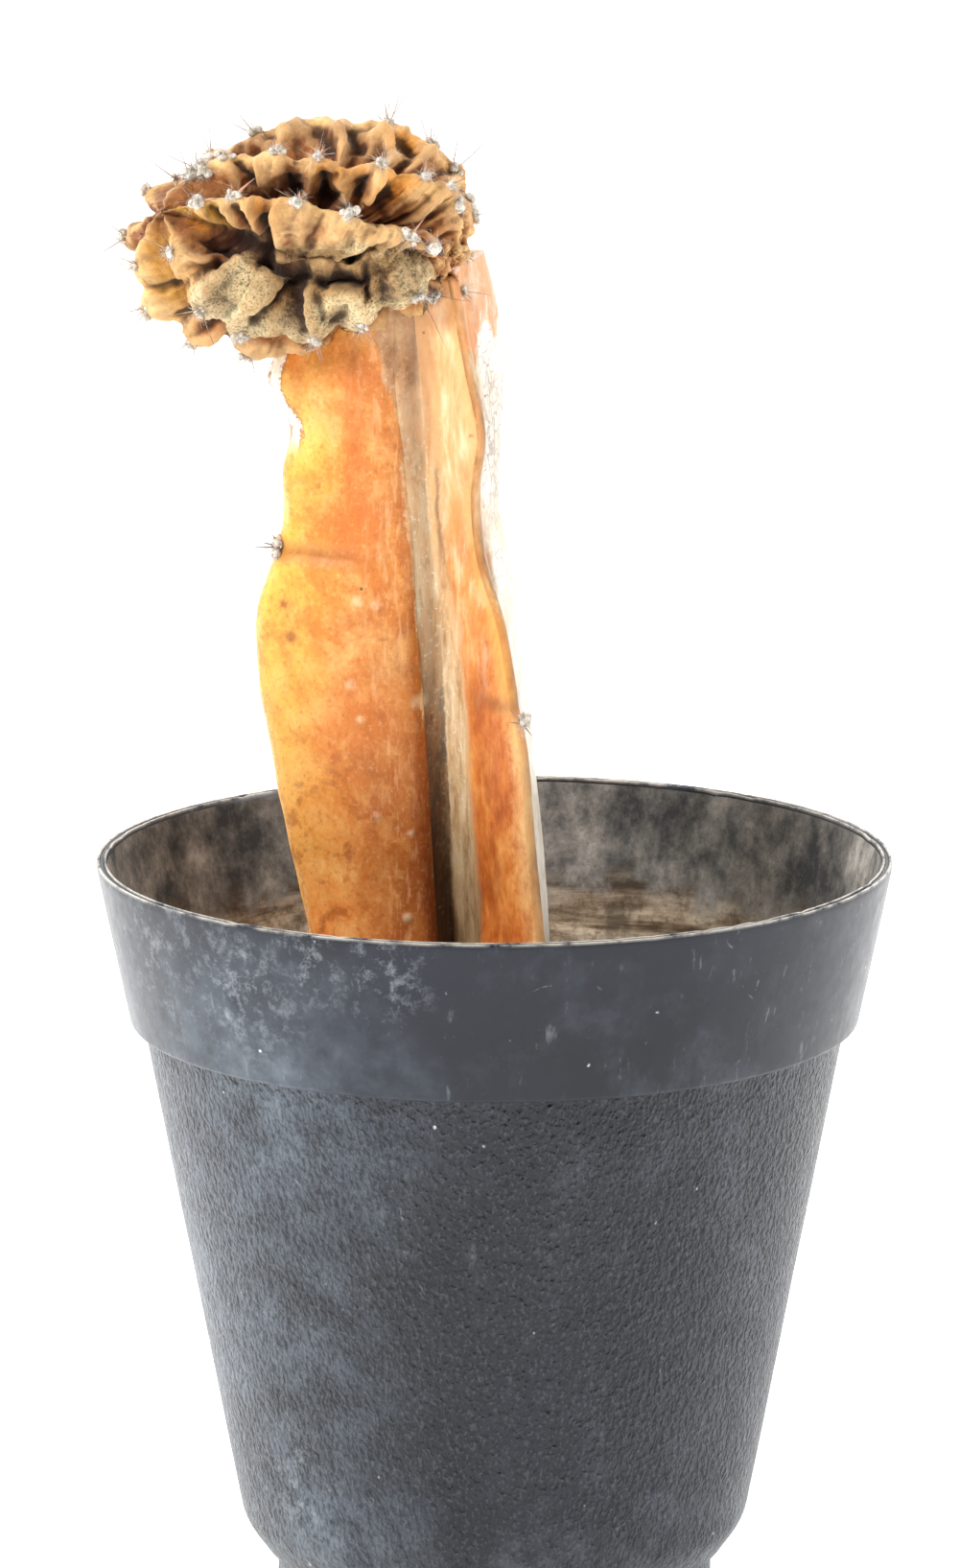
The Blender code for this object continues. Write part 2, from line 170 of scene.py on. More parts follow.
def dress(obj, look, node=None):
    """Gives a piece its material and slot, puts it on the body and hides the model's part that it replaces.
    """
    obj.data.materials.append(look)
    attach(obj, "root")
    if node:
        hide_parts(node)


# ---------------------------------------------------------------- shaders

def paint(code):
    """A linear colour from a hex code."""
    parts = [int(code[i:i + 2], 16) / 255 for i in (1, 3, 5)]
    return tuple(p / 12.92 if p <= 0.04045 else ((p + 0.055) / 1.055) ** 2.4 for p in parts) + (1.0,)


class Look:
    """A material and short calls for the nodes that it is made of."""

    def __init__(self, name):
        self.material = bpy.data.materials.new(name)
        self.material.use_nodes = True
        self.tree = self.material.node_tree
        self.shader = self.tree.nodes["Principled BSDF"]
        self.place = self.node("ShaderNodeTexCoord").outputs["Object"]

    def node(self, kind, settings=None, **sockets):
        made = self.tree.nodes.new(kind)
        for key, value in (settings or {}).items():
            setattr(made, key, value)
        for key, value in sockets.items():
            self.put(made.inputs[key.replace("_", " ")], value)
        return made

    def put(self, socket, value):
        if isinstance(value, bpy.types.NodeSocket):
            self.tree.links.new(value, socket)
        else:
            socket.default_value = value

    def stretch(self, x=1.0, y=1.0, z=1.0, turn=(0, 0, 0)):
        return self.node("ShaderNodeMapping", Vector=self.place, Scale=(x, y, z), Rotation=turn).outputs[0]

    def noise(self, scale, detail=4.0, rough=0.55, at=None, distort=0.0):
        made = self.node("ShaderNodeTexNoise", Vector=at or self.place, Scale=scale, Detail=detail,
                         Roughness=rough, Distortion=distort)
        return made.outputs["Fac"]

    def noise_warp(self, at, scale, amount):
        """The same place pushed about by noise, for lines that wander."""
        push = self.node("ShaderNodeTexNoise", Vector=self.place, Scale=scale, Detail=2.0).outputs["Color"]
        made = self.node("ShaderNodeVectorMath", {"operation": "MULTIPLY_ADD"})
        self.put(made.inputs[0], push)
        made.inputs[1].default_value = (amount, amount, amount)
        self.put(made.inputs[2], at)
        return made.outputs[0]

    def cells(self, scale, feature="F1", at=None):
        made = self.node("ShaderNodeTexVoronoi", {"feature": feature}, Vector=at or self.place, Scale=scale)
        return made.outputs["Distance"]

    def value(self, name):
        return self.node("ShaderNodeAttribute", {"attribute_name": name}).outputs["Fac"]

    def span(self, fac, low, high, to_low=0.0, to_high=1.0):
        made = self.node("ShaderNodeMapRange", {"clamp": True}, Value=fac)
        for key, value in (("From Min", low), ("From Max", high), ("To Min", to_low), ("To Max", to_high)):
            made.inputs[key].default_value = value
        return made.outputs[0]

    def math(self, kind, a, b=0.0):
        made = self.node("ShaderNodeMath", {"operation": kind})
        self.put(made.inputs[0], a)
        self.put(made.inputs[1], b)
        return made.outputs[0]

    def plus(self, a, b):
        return self.math("ADD", a, b)

    def minus(self, a, b):
        return self.math("SUBTRACT", a, b)

    def either(self, a, b):
        return self.math("MAXIMUM", a, b)

    def sway(self, noise, amount):
        """Noise from 0 to 1, turned into a wander to both sides of 0."""
        return self.times(self.minus(noise, 0.5), amount)

    def fall(self, fac, low, high):
        """1 below the low limit and 0 above the high one."""
        return self.span(fac, low, high, 1.0, 0.0)

    def times(self, *factors):
        total = factors[0]
        for factor in factors[1:]:
            total = self.math("MULTIPLY", total, factor)
        return total

    def over(self, base, colour, *factors):
        """One colour laid over another, by the product of the factors."""
        made = self.node("ShaderNodeMix", {"data_type": "RGBA"})
        self.put(made.inputs[0], self.times(*factors))
        for socket, value in ((6, base), (7, colour)):
            self.put(made.inputs[socket], paint(value) if isinstance(value, str) else value)
        return made.outputs[2]

    def layers(self, base, rows):
        """Colours laid over a base in turn, each row a colour and its factors."""
        for colour, *factors in rows:
            base = self.over(base, colour, *factors)
        return base

    def ramp(self, fac, *stops):
        made = self.node("ShaderNodeValToRGB", Fac=fac)
        line = made.color_ramp.elements
        while len(line) < len(stops):
            line.new(0.5)
        for element, (where, colour) in zip(line, stops):
            element.position = where
            element.color = paint(colour)
        return made.outputs[0]

    def bump(self, height, strength, distance, below=None):
        made = self.node("ShaderNodeBump", Height=height, Strength=strength, Distance=distance)
        if below is not None:
            self.put(made.inputs["Normal"], below)
        return made.outputs[0]

    def near(self, spot, radius, soft=0.5):
        """1 within a ball round a spot in millimetres, fading out to 0 past its edge."""
        away = self.node("ShaderNodeVectorMath", {"operation": "DISTANCE"})
        self.put(away.inputs[0], self.place)
        away.inputs[1].default_value = tuple(np.array(spot) * MM)
        return self.fall(away.outputs["Value"], radius * (1 - soft) * MM, radius * (1 + soft) * MM)

    def stains(self, rows):
        """The strongest of many round marks: place, radius, softness and, if not full, strength."""
        marks = [self.times(self.near(*row[:3]), *row[3:]) for row in rows]
        total = marks[0]
        for mark in marks[1:]:
            total = self.either(total, mark)
        return total

    def band(self, value, low, high, soft=0.01):
        """1 between two limits, 0 outside them."""
        past_low = self.span(value, low - soft, low + soft)
        return self.times(past_low, self.fall(value, high - soft, high + soft))

    def height(self):
        """Height above the foot in millimetres."""
        split = self.node("ShaderNodeSeparateXYZ", Vector=self.place)
        return self.math("DIVIDE", split.outputs["Z"], MM)

    def finish(self, **sockets):
        for key, value in sockets.items():
            self.put(self.shader.inputs[key.replace("_", " ")], value)
        return self.material


# ---------------------------------------------------------------- pot

BAND_BOTTOM = 65.4
BAND_RADIUS = 41.3
BODY_TOP_RADIUS = 39.8
BODY_BOTTOM_RADIUS = 28.8
BODY_BOTTOM = 7.5
FOOT_RADIUS = 24.9
FOOT_HEIGHT = 3.5
FOOT_RING = 3.4
FOOT_RECESS = 1.6
WALL = 1.2
POT_SEGMENTS = 300

# Round marks on the pot: place, radius, softness and, where it is not full, strength
HAZE_STAINS = [((-25, -29, 62), 14, 0.8), ((-20, -22, 12), 9, 0.9), ((-36, -14, 36), 20, 0.9)]
LIME_STAINS = [((-28, -33, 76), 6.5, 0.7), ((-20.5, -40, 80.5), 4, 0.8), ((-13, -43, 80), 4.5, 0.8),
               ((-37, -24, 79), 9, 0.8, 0.7), ((-21, -20, 15), 6.5, 0.8, 0.9)]


def filleted(corners, step=0.9):
    """An outline through (radius, height, fillet) corners, with each corner turned into an arc."""
    points = []
    for i, (r, z, fillet) in enumerate(corners):
        here = np.array([r, z])
        if i in (0, len(corners) - 1) or fillet == 0:
            points.append(here)
            continue
        back = np.array(corners[i - 1][:2]) - here
        ahead = np.array(corners[i + 1][:2]) - here
        reach = min(fillet, 0.48 * np.linalg.norm(back), 0.48 * np.linalg.norm(ahead))
        start, end = here + unit(back) * reach, here + unit(ahead) * reach
        for u in np.linspace(0, 1, 5):
            points.append(start * (1 - u) ** 2 + 2 * here * u * (1 - u) + end * u * u)
    dense = [points[0]]
    for a, b in zip(points, points[1:]):
        count = max(1, int(np.linalg.norm(b - a) / step))
        dense += [a + (b - a) * (k + 1) / count for k in range(count)]
    return np.array(dense)


def pot_outline():
    """The pot's section from the middle of its underside, up the outside, over the lip and down inside."""
    rim, top = POT_HIGH[0] - 0.05, POT_HIGH[2]
    slope = (BODY_TOP_RADIUS - BODY_BOTTOM_RADIUS) / (BAND_BOTTOM - BODY_BOTTOM)
    inner_band = BAND_RADIUS - WALL
    return filleted([
        (0.0, FOOT_RECESS, 0), (FOOT_RADIUS - FOOT_RING - 0.6, FOOT_RECESS, 0.3),
        (FOOT_RADIUS - FOOT_RING, 0.0, 0.3), (FOOT_RADIUS, 0.0, 0.5), (FOOT_RADIUS, FOOT_HEIGHT, 0.3),
        (FOOT_RADIUS + 1.1, FOOT_HEIGHT + 0.2, 0.6), (BODY_BOTTOM_RADIUS, BODY_BOTTOM, 1.6),
        (BODY_TOP_RADIUS, BAND_BOTTOM - 0.2, 0.25), (BAND_RADIUS, BAND_BOTTOM + 0.1, 0.45),
        (rim, top - 0.7, 0.4), (rim - 0.06, top - 0.02, 0.12), (rim - 0.32, top - 0.04, 0.12),
        (rim - 0.42, top - 0.34, 0.1), (rim - 0.78, top - 0.36, 0.1), (rim - 0.86, top, 0.1),
        (rim - 1.08, top - 0.02, 0.1), (rim - WALL - 0.05, top - 0.7, 0.4),
        (inner_band + 0.3, BAND_BOTTOM + 2.0, 0.8), (inner_band - 2.4 * slope - 0.6, BAND_BOTTOM - 0.6, 0.8),
        (BODY_BOTTOM_RADIUS - WALL, BODY_BOTTOM + 0.8, 2.0),
        (FOOT_RADIUS - 0.9, FOOT_RECESS + WALL + 0.6, 0.8), (FOOT_RADIUS - 2.5, FOOT_RECESS + WALL, 0.8),
        (0.0, FOOT_RECESS + WALL, 0),
    ])


def make_pot(look, inside_look):
    """The outline turned round, a little uneven, with a chipped lip; the inside has its own material."""
    outline = pot_outline()
    rim, top = POT_HIGH[0] - 0.05, POT_HIGH[2]
    turn = np.arange(POT_SEGMENTS) * math.tau / POT_SEGMENTS
    radius = outline[:, :1] * np.ones(POT_SEGMENTS)
    height = outline[:, 1:] * np.ones(POT_SEGMENTS)
    points = np.stack([radius * np.cos(turn), radius * np.sin(turn), height], -1)
    swell = 0.10 * np.sin(2 * turn + 0.7) * np.clip(height / top, 0, 1) + 0.05 * noise(points, 9.0, 3)
    near_lip = np.clip((height - (top - 1.2)) / 1.2, 0, 1)
    chips = np.clip(noise(points, 1.7, 5, 2) - 0.2, 0, 1) * near_lip
    points[..., 2] -= 0.45 * chips * (0.3 + 0.7 * (radius < rim - 0.6))
    points[..., :2] *= np.where(radius > 1, (radius - 0.12 + swell) / np.maximum(radius, 1), 1.0)[..., None]
    pot = mesh_from("pot_shell", points.reshape(-1, 3), grid_faces(len(outline), POT_SEGMENTS))
    # How near each row is to the top of the lip, for the painted highlight there
    carry(pot, "edge", np.repeat(np.clip((outline[:, 1] - (top - 0.22)) / 0.16, 0, 1), POT_SEGMENTS))
    dress(pot, look, "pot")
    pot.data.materials.append(inside_look)
    rows = np.repeat(np.arange(len(outline) - 1), POT_SEGMENTS)
    past_lip = rows > np.argmax(outline[:, 1]) + 6
    pot.data.polygons.foreach_set("material_index", past_lip.astype(np.int32))


def pot_look():
    look = Look("pot plastic")
    fall, span = look.fall, look.span
    height = look.height()
    body = fall(height, BAND_BOTTOM - 0.15, BAND_BOTTOM + 0.15)
    grain_at = look.stretch(1.0, 1.0, 0.72, (0.0, 0.25, 0.0))
    grain = look.noise(1500, 1.6, 0.5, grain_at)
    pebble = look.noise(2600, 1.0, 0.5, grain_at)
    mottle = look.noise(170, 6.0, 0.68)
    base = look.over("#11141c", "#1a1e29", span(look.noise(26, 4.0, 0.6), 0.36, 0.66))
    base = look.layers(base, (
        ("#363b44", span(mottle, 0.50, 0.74), 0.45),
        ("#4e5660", span(look.noise(62, 5.0, 0.62, look.stretch(1.0, 1.0, 0.55)), 0.52, 0.66),
         span(mottle, 0.40, 0.6), 0.30),
        ("#75808b", look.stains(HAZE_STAINS), span(mottle, 0.32, 0.66, 0.08, 0.62)),
        # Painted highlight on the pebble tops and painted shade in the grain's pits, from the same noises as
        # the bump
        ("#7c8085", body, span(pebble, 0.55, 0.68, 0.0, 0.16)),
        ("#08090b", body, span(grain, 0.48, 0.36, 0.0, 0.45)),
    ))
    base = pot_marks(look, base, height, body, mottle)
    rough = span(look.noise(500, 4.0, 0.6), 0.3, 0.7, 0.40, 0.58)
    relief = look.times(look.plus(grain, look.times(pebble, 0.4)), body)
    smoother = look.bump(look.noise(3200, 3.0, 0.6), 0.12, 0.00012, look.bump(mottle, 0.10, 0.0003))
    return look.finish(Base_Color=base, Roughness=rough, Specular_IOR_Level=0.1, Coat_Weight=0.5,
                       Coat_Roughness=0.25, Normal=look.bump(relief, 1.0, 0.0010, smoother),
                       Coat_Normal=look.bump(relief, 0.6, 0.0008, smoother))


def pot_marks(look, base, height, body, mottle):
    """Lime stains, dust by the foot, scuffs, scratches, white dots and a painted highlight in broken patches
    along the top of the lip.
    """
    fall, span = look.fall, look.span
    scuff = look.noise(1100, 3.0, 0.65, look.stretch(1.0, 1.0, 0.14))
    scratch = look.cells(70, "DISTANCE_TO_EDGE", look.noise_warp(look.stretch(1.0, 1.0, 0.25), 60, 0.035))
    return look.layers(base, (
        ("#a8b1b5", look.stains(LIME_STAINS), span(look.noise(420, 8.0, 0.78), 0.50, 0.70), 0.7),
        ("#6c7276", fall(height, 5.0, 14.0), span(mottle, 0.42, 0.62), 0.45),
        ("#7b8085", span(scuff, 0.60, 0.70), span(mottle, 0.50, 0.60), span(body, 0.0, 1.0, 1.0, 0.35),
         0.45),
        ("#8d9396", span(scratch, 0.0, 0.012, 0.45, 0.0), span(look.noise(240, 4.0, 0.7), 0.60, 0.66)),
        ("#d9dad6", fall(look.cells(300), 0.04, 0.09), span(look.noise(900, 1.0, 0.5), 0.60, 0.66), 0.85),
        # Painted highlight along the top of the lip, broken in patches
        ("#c9c3b8", look.value("edge"), span(look.noise(330, 4.0, 0.65), 0.36, 0.56), 0.9),
    ))


def pot_inside_look():
    """Dry soil dust and water marks on the wall, inside the pot."""
    look = Look("pot inside")
    over, ramp, span = look.over, look.ramp, look.span
    blotch = look.noise(150, 6.0, 0.70, look.stretch(1.0, 1.0, 0.8))
    streak = look.noise(60, 5.0, 0.66, look.stretch(1.0, 1.0, 7.0), 0.4)
    grit = look.noise(900, 6.0, 0.75)
    wall = ramp(blotch, (0.36, "#3b3c3d"), (0.46, "#63625f"), (0.56, "#8a8781"), (0.68, "#b3b0a9"))
    wall = over(wall, "#33302d", span(grit, 0.5, 0.66, 0.0, 0.4))
    dust = ramp(streak, (0.36, "#5c4c3a"), (0.46, "#988670"), (0.54, "#c5b49c"), (0.66, "#e2d5c0"))
    dust = look.layers(dust, (
        ("#383028", span(blotch, 0.50, 0.40), 0.6),
        ("#4b3c2b", span(grit, 0.5, 0.66, 0.0, 0.6)),
    ))
    ragged = look.plus(look.height(), span(blotch, 0.3, 0.7, -4.0, 4.0))
    base = over(wall, dust, look.fall(ragged, 69.5, 73.0))
    # The same painted highlight on the top of the lip, on the inside faces
    base = over(base, "#bdb6aa", look.value("edge"), span(blotch, 0.4, 0.6))
    return look.finish(Base_Color=base, Roughness=0.75, Specular_IOR_Level=0.2,
                       Normal=look.bump(grit, 0.5, 0.0003))


# ---------------------------------------------------------------- soil

SOIL_GRID = (130, 360)
CRUMB_SEED, CRUMBS = 23, 1100


def soil_level(x, y):
    """Height of the dried-out peat: a low dome, broken into lumps."""
    spot = np.stack([x, y, np.full_like(x, 3.0)], -1)
    level = 61.4 + 0.8 * np.sin(0.31 * x + 0.9) * np.cos(0.27 * y - 0.4) + 0.4 * np.sin(0.63 * y + 0.5 * x)
    level -= 0.9 * (x * x + y * y) / BODY_TOP_RADIUS ** 2
    lumps = 1.0 - np.abs(noise(spot, 4.4, 11, 2)) * 2.2
    level += 0.75 * lumps + 0.42 * noise(spot, 1.5, 12, 2) + 0.16 * noise(spot, 0.55, 13)
    return np.minimum(level, SOIL_HIGH[2] + 0.7)


def make_soil(look):
    """The broken crust on top, and a plain closed side and bottom inside the pot."""
    rows, columns = SOIL_GRID
    turn = np.arange(columns) * math.tau / columns
    edge = SOIL_HIGH[0] - 0.15
    radius = np.linspace(0.0, 1.0, rows)[:, None] ** 0.75 * edge * np.ones(columns)
    x, y = radius * np.cos(turn), radius * np.sin(turn)
    level = soil_level(x, y)
    points = np.stack([x, y, level], -1)
    side = [(edge - 0.2, 58.0), (edge - 1.2, 50.0), (BODY_BOTTOM_RADIUS - WALL - 1.5, BODY_BOTTOM + 2.0),
            (FOOT_RADIUS - 3.0, SOIL_LOW[2] + 0.1), (0.0, SOIL_LOW[2] + 0.1)]
    rings = [np.stack([r * np.cos(turn), r * np.sin(turn), np.full(columns, z)], -1) for r, z in side]
    points = np.concatenate([points, np.array(rings)])
    soil = mesh_from("soil_crust", points.reshape(-1, 3), grid_faces(len(points), columns)[:, ::-1])
    # How far the crust dips below its smoothed self, for painted shade in its hollows
    hollow = np.concatenate([blurred(level, 5, 5, 2) - level, np.zeros((len(side), columns))])
    carry(soil, "hollow", hollow)
    dress(soil, look, "soil")


def make_crumbs(look):
    """Loose crumbs, bark chips, white perlite grains and root hairs on the peat."""
    draw = np.random.default_rng(CRUMB_SEED)
    away = (SOIL_HIGH[0] - 2.2) * np.sqrt(draw.random(CRUMBS))
    turn = draw.uniform(0, math.tau, CRUMBS)
    spots = np.stack([away * np.cos(turn), away * np.sin(turn), np.full(CRUMBS, 61.0)], -1)
    spots = spots[np.abs(stalk_push(spots, 2.2)).sum(-1) == 0]
    spots[:, 2] = soil_level(spots[:, 0], spots[:, 1])
    knob, knob_faces = ball(2)
    lumps, tones = zip(*(crumb(draw, knob, k, spot) for k, spot in enumerate(spots)))
    paths, radii = [], []
    for spot in spots[::9]:
        way = unit([*draw.normal(0, 1, 2), draw.uniform(-0.05, 0.4)])
        sag = draw.normal(0, 0.5, 3) * [1, 1, 0.25]
        paths.append(bent(spot + [0, 0, 0.3], way, sag, draw.uniform(2.0, 5.0), 6))
        radii.append(draw.uniform(0.05, 0.11) * np.linspace(1, 0.5, 6))
    hairs, hair_faces = tubes(paths, radii, 4)
    crumbs = merged("soil_crumbs", lumps, knob_faces, hairs, hair_faces)
    carry(crumbs, "tone", np.append(np.repeat(tones, len(knob)), np.full(len(hairs), 0.78)))
    dress(crumbs, look)


def crumb(draw, knob, number, spot):
    """Points and tone of one crumb: about one in thirty is perlite and twice as many are bark chips."""
    kind = draw.random()
    size = 0.30 + 1.0 * draw.random() ** 3
    stretch = draw.uniform(0.75, 1.2, 3)
    tone = draw.uniform(0.0, 0.62)
    if kind > 0.965:
        size, tone = draw.uniform(0.6, 1.25), 1.0
    elif kind > 0.90:
        stretch, size, tone = np.array([2.6, 0.8, 0.42]), draw.uniform(0.6, 1.2), draw.uniform(0.55, 0.8)
    shape = knob * (1 + 0.36 * noise(knob + 7.0 * number, 0.75, 67, 2))[:, None] * stretch * size
    turn, tilt = draw.uniform(0, math.tau), draw.uniform(-0.5, 0.5)
    c, s = math.cos(turn), math.sin(turn)
    shape = shape @ np.array([[c, s, 0], [-s, c, 0], [0, 0, 1]])
    shape[:, 2] += shape[:, 0] * tilt * 0.5
    return shape + spot + [0, 0, 0.28 * size], tone


def merged(name, lumps, lump_faces, hairs, hair_faces):
    """One mesh of many lumps with the same faces, and of hairs."""
    size = len(lumps[0])
    faces = [lump_faces + size * k for k in range(len(lumps))]
    faces.append(hair_faces + size * len(lumps))
    return mesh_from(name, np.concatenate([*lumps, hairs]), np.concatenate(faces))


def soil_look():
    look = Look("dry peat")
    over, ramp, span = look.over, look.ramp, look.span
    crumb, clod = look.noise(900, 6.0, 0.72), look.noise(240, 5.0, 0.65)
    base = ramp(crumb, (0.3, "#1d140d"), (0.46, "#3d2b1e"), (0.58, "#664c37"), (0.72, "#8f7458"))
    base = look.layers(base, (
        ("#7d644b", span(clod, 0.44, 0.62), 0.55),
        ("#2b1d13", span(clod, 0.46, 0.34), 0.5),
        # Painted shade in the crust's hollows
        ("#150e09", span(look.value("hollow"), 0.02, 0.30), 0.8),
    ))
    grit = look.cells(1300)
    base = over(base, "#b29c80", span(grit, 0.24, 0.12), span(look.noise(400), 0.52, 0.66))
    return look.finish(Base_Color=base, Roughness=0.95, Specular_IOR_Level=0.2,
                       Normal=look.bump(crumb, 0.8, 0.0008))


def crumb_look():
    look = Look("crumbs and perlite")
    over, ramp, span = look.over, look.ramp, look.span
    tone, fine = look.value("tone"), look.noise(1500, 5.0, 0.7)
    base = ramp(tone, (0.0, "#20150e"), (0.3, "#47331f"), (0.6, "#74593f"), (0.8, "#a58761"),
                (0.9, "#cdc6b6"))
    base = over(base, "#1d140d", span(fine, 0.56, 0.40), 0.6)
    chalk = ramp(fine, (0.36, "#a79c8a"), (0.5, "#d9d4c8"), (0.66, "#f1eee6"))
    base = over(base, chalk, span(tone, 0.9, 0.98))
    return look.finish(Base_Color=base, Roughness=0.93, Specular_IOR_Level=0.2,
                       Normal=look.bump(fine, 0.7, 0.0004))


# ---------------------------------------------------------------- rootstock

STALK_AXIS = [(42, -3.0, 0.0), (76, -4.6, 0.0), (107, -5.9, 0.0), (133, -7.9, 0.0), (151, -9.2, 0.0)]
LEFT_WING = 182
LEFT_REACH = [(42, 12.0), (58, 14.5), (76, 16.6), (96, 19.8), (107, 20.9), (112, 20.5), (118, 18.3),
              (123, 16.5), (128, 16.2), (133, 14.9), (139, 17.0), (143, 15.0), (151, 9.0)]
FRONT_WING = 297
FRONT_REACH = [(42, 17.0), (58, 20.5), (76, 22.0), (90, 20.2), (100, 19.2), (106, 17.4), (113, 15.6),
               (120, 11.8), (128, 12.0), (134, 14.4), (141, 12.6), (151, 10.0)]
BACK_WING = 62
BACK_REACH = [(42, 17.0), (58, 20.5), (74, 22.0), (90, 20.2), (100, 19.0), (114, 17.2), (121, 15.4),
              (128, 16.4), (134, 18.2), (143, 18.6), (151, 16.0)]
THIN_FLANK = [(0.99, 0.5), (0.84, 1.6), (0.64, 2.5), (0.46, 3.1), (0.30, 3.4)]
GROOVE_FLANK = [(0.992, 0.35), (0.93, 0.9), (0.84, 1.5), (0.70, 2.0), (0.54, 2.3), (0.42, 2.4)]
PUFFY_FLANK = [(0.97, 1.2), (0.81, 3.5), (0.57, 6.3), (0.38, 8.0), (0.24, 8.6), (0.17, 8.3), (0.12, 7.3)]
FRONT_GROOVE = [(252, 4.9), (270, 4.3)]
RIGHT_VALLEY = [(0, 5.4)]
BACK_VALLEY = [(122, 5.4)]
GROOVE_FILL = [(42, 1.6), (84, 2.2), (107, 3.0), (124, 3.6), (134, 4.0), (151, 4.2)]


def heading(turn):
    return np.array([math.cos(math.radians(turn)), math.sin(math.radians(turn))])


def stalk_sections(heights):
    """Corners of the stem's outline at many heights, and how far round the stem each corner is.

    The way round counts 0, 2 and 4 on the edges of the back, left and front wings, and 1, 3
    and 5 in the valleys after them.
    """
    centre = smooth(STALK_AXIS, heights)[:, None, :]
    corners, travel = [], []
    wings = (
        (BACK_WING, BACK_REACH, THIN_FLANK, THIN_FLANK, BACK_VALLEY),
        (LEFT_WING, LEFT_REACH, THIN_FLANK, PUFFY_FLANK, FRONT_GROOVE),
        (FRONT_WING, FRONT_REACH, GROOVE_FLANK, THIN_FLANK, RIGHT_VALLEY),
    )
    for number, (direction, reaches, before, after, gutter) in enumerate(wings):
        reach = smooth(reaches, heights)
        sides = [(-1, row) for row in before[::-1]] + [(1, (1.0, 0.0))] + [(1, row) for row in after]
        for side, (share, half) in sides:
            corners.append(heading(direction) * share * reach + heading(direction + 90 * side) * half)
            travel.append(2 * number + side * (1 - share))
        fill = smooth(GROOVE_FILL, heights) if gutter is FRONT_GROOVE else np.zeros((len(heights), 1))
        if number == 2:
            level = -FRONT_GROOVE[1][1] - smooth(GROOVE_FILL, heights)[:, 0]
            for near_groove in corners[-2 * len(before):]:
                near_groove[:, 1] = np.minimum(near_groove[:, 1], level)
        for step, (turn, radius) in enumerate(gutter):
            corners.append(heading(turn) * (radius + fill))
            travel.append(2 * number + 1 + 0.1 * (step - (len(gutter) - 1) / 2))
    return np.stack(corners, 1) + centre, np.array(travel)


def round_trip(corners, steps):
    """A smooth closed curve through each row of corner points, with this many steps to a side."""
    before, after, beyond = (np.roll(corners, shift, 1) for shift in (1, -1, -2))
    out = []
    for i in range(corners.shape[1]):
        p0, p1, p2, p3 = before[:, i], corners[:, i], after[:, i], beyond[:, i]
        t1, t2, t3 = (np.linalg.norm(b - a, axis=-1, keepdims=True) ** 0.5
                      for a, b in ((p0, p1), (p1, p2), (p2, p3)))
        m1 = t2 * ((p1 - p0) / t1 - (p2 - p0) / (t1 + t2) + (p2 - p1) / t2)
        m2 = t2 * ((p2 - p1) / t2 - (p3 - p1) / (t2 + t3) + (p3 - p2) / t3)
        out += [hermite(p1, m1, p2, m2, u) for u in np.arange(steps[i]) / steps[i]]
    return np.stack(out, 1)


def stalk_push(points, room):
    """The shortest move that takes each point out of the stem, with some room left round it."""
    moves = np.zeros_like(points)
    top = STALK_HIGH[2] + room
    near = (points[:, 2] < top) & (points[:, 0] > STALK_LOW[0] - 1)
    spots = points[near]
    ring, _ = stalk_sections(np.clip(spots[:, 2], STALK_LOW[2], STALK_HIGH[2]))
    after = np.roll(ring, -1, 1)
    side = after - ring
    to_spot = spots[:, None, :2] - ring
    t = np.clip(np.sum(to_spot * side, -1) / np.sum(side * side, -1), 0, 1)
    foot = ring + t[..., None] * side
    gap = np.linalg.norm(spots[:, None, :2] - foot, axis=-1)
    nearest = np.argmin(gap, 1)
    rows = np.arange(len(spots))
    foot, gap = foot[rows, nearest], gap[rows, nearest]
    y = spots[:, None, 1]
    crosses = (ring[..., 1] > y) != (after[..., 1] > y)
    climb = np.where(side[..., 1] == 0, 1e-9, side[..., 1])
    reach = ring[..., 0] + (y - ring[..., 1]) / climb * side[..., 0]
    inside = np.sum(crosses & (spots[:, None, 0] < reach), 1) % 2 == 1
    out = unit(np.where(inside[:, None], foot - spots[:, :2], spots[:, :2] - foot))
    need = np.where(inside, gap + room, room - gap)
    rise = top - spots[:, 2]
    push = np.zeros_like(spots)
    sideways = (need > 0) & (need < rise)
    push[sideways, :2] = (out * need[:, None])[sideways]
    up = (need > 0) & ~sideways
    push[up, 2] = rise[up]
    moves[near] = push
    return moves


# Dots on the front of the stem: x, height and radius
PALE_DOTS = [(-15.2, 114.7, 0.5), (-13.3, 114.5, 0.5), (-16.0, 105.2, 0.55), (-8.4, 103.4, 0.65),
             (-14.8, 101.3, 0.4), (-13.2, 90.2, 0.45), (-9.3, 88.5, 0.3), (-9.8, 78.8, 0.45)]
DARK_DOTS = [(-19.6, 127.2, 0.25), (-22.8, 110.0, 0.6), (-23.6, 113.6, 0.4), (-12.4, 110.6, 0.25),
             (-2.6, 134.2, 0.2)]


def spots_on_front(points, spots):
    """1 in the middle of each round spot on the side that faces the front, fading to 0 at its edge."""
    mark = np.zeros(points.shape[:-1])
    for x, z, radius in spots:
        away = np.hypot(points[..., 0] - x, points[..., 2] - z) / radius
        mark = np.maximum(mark, np.clip(1.6 - away, 0, 1) * (points[..., 1] < 0))
    return mark


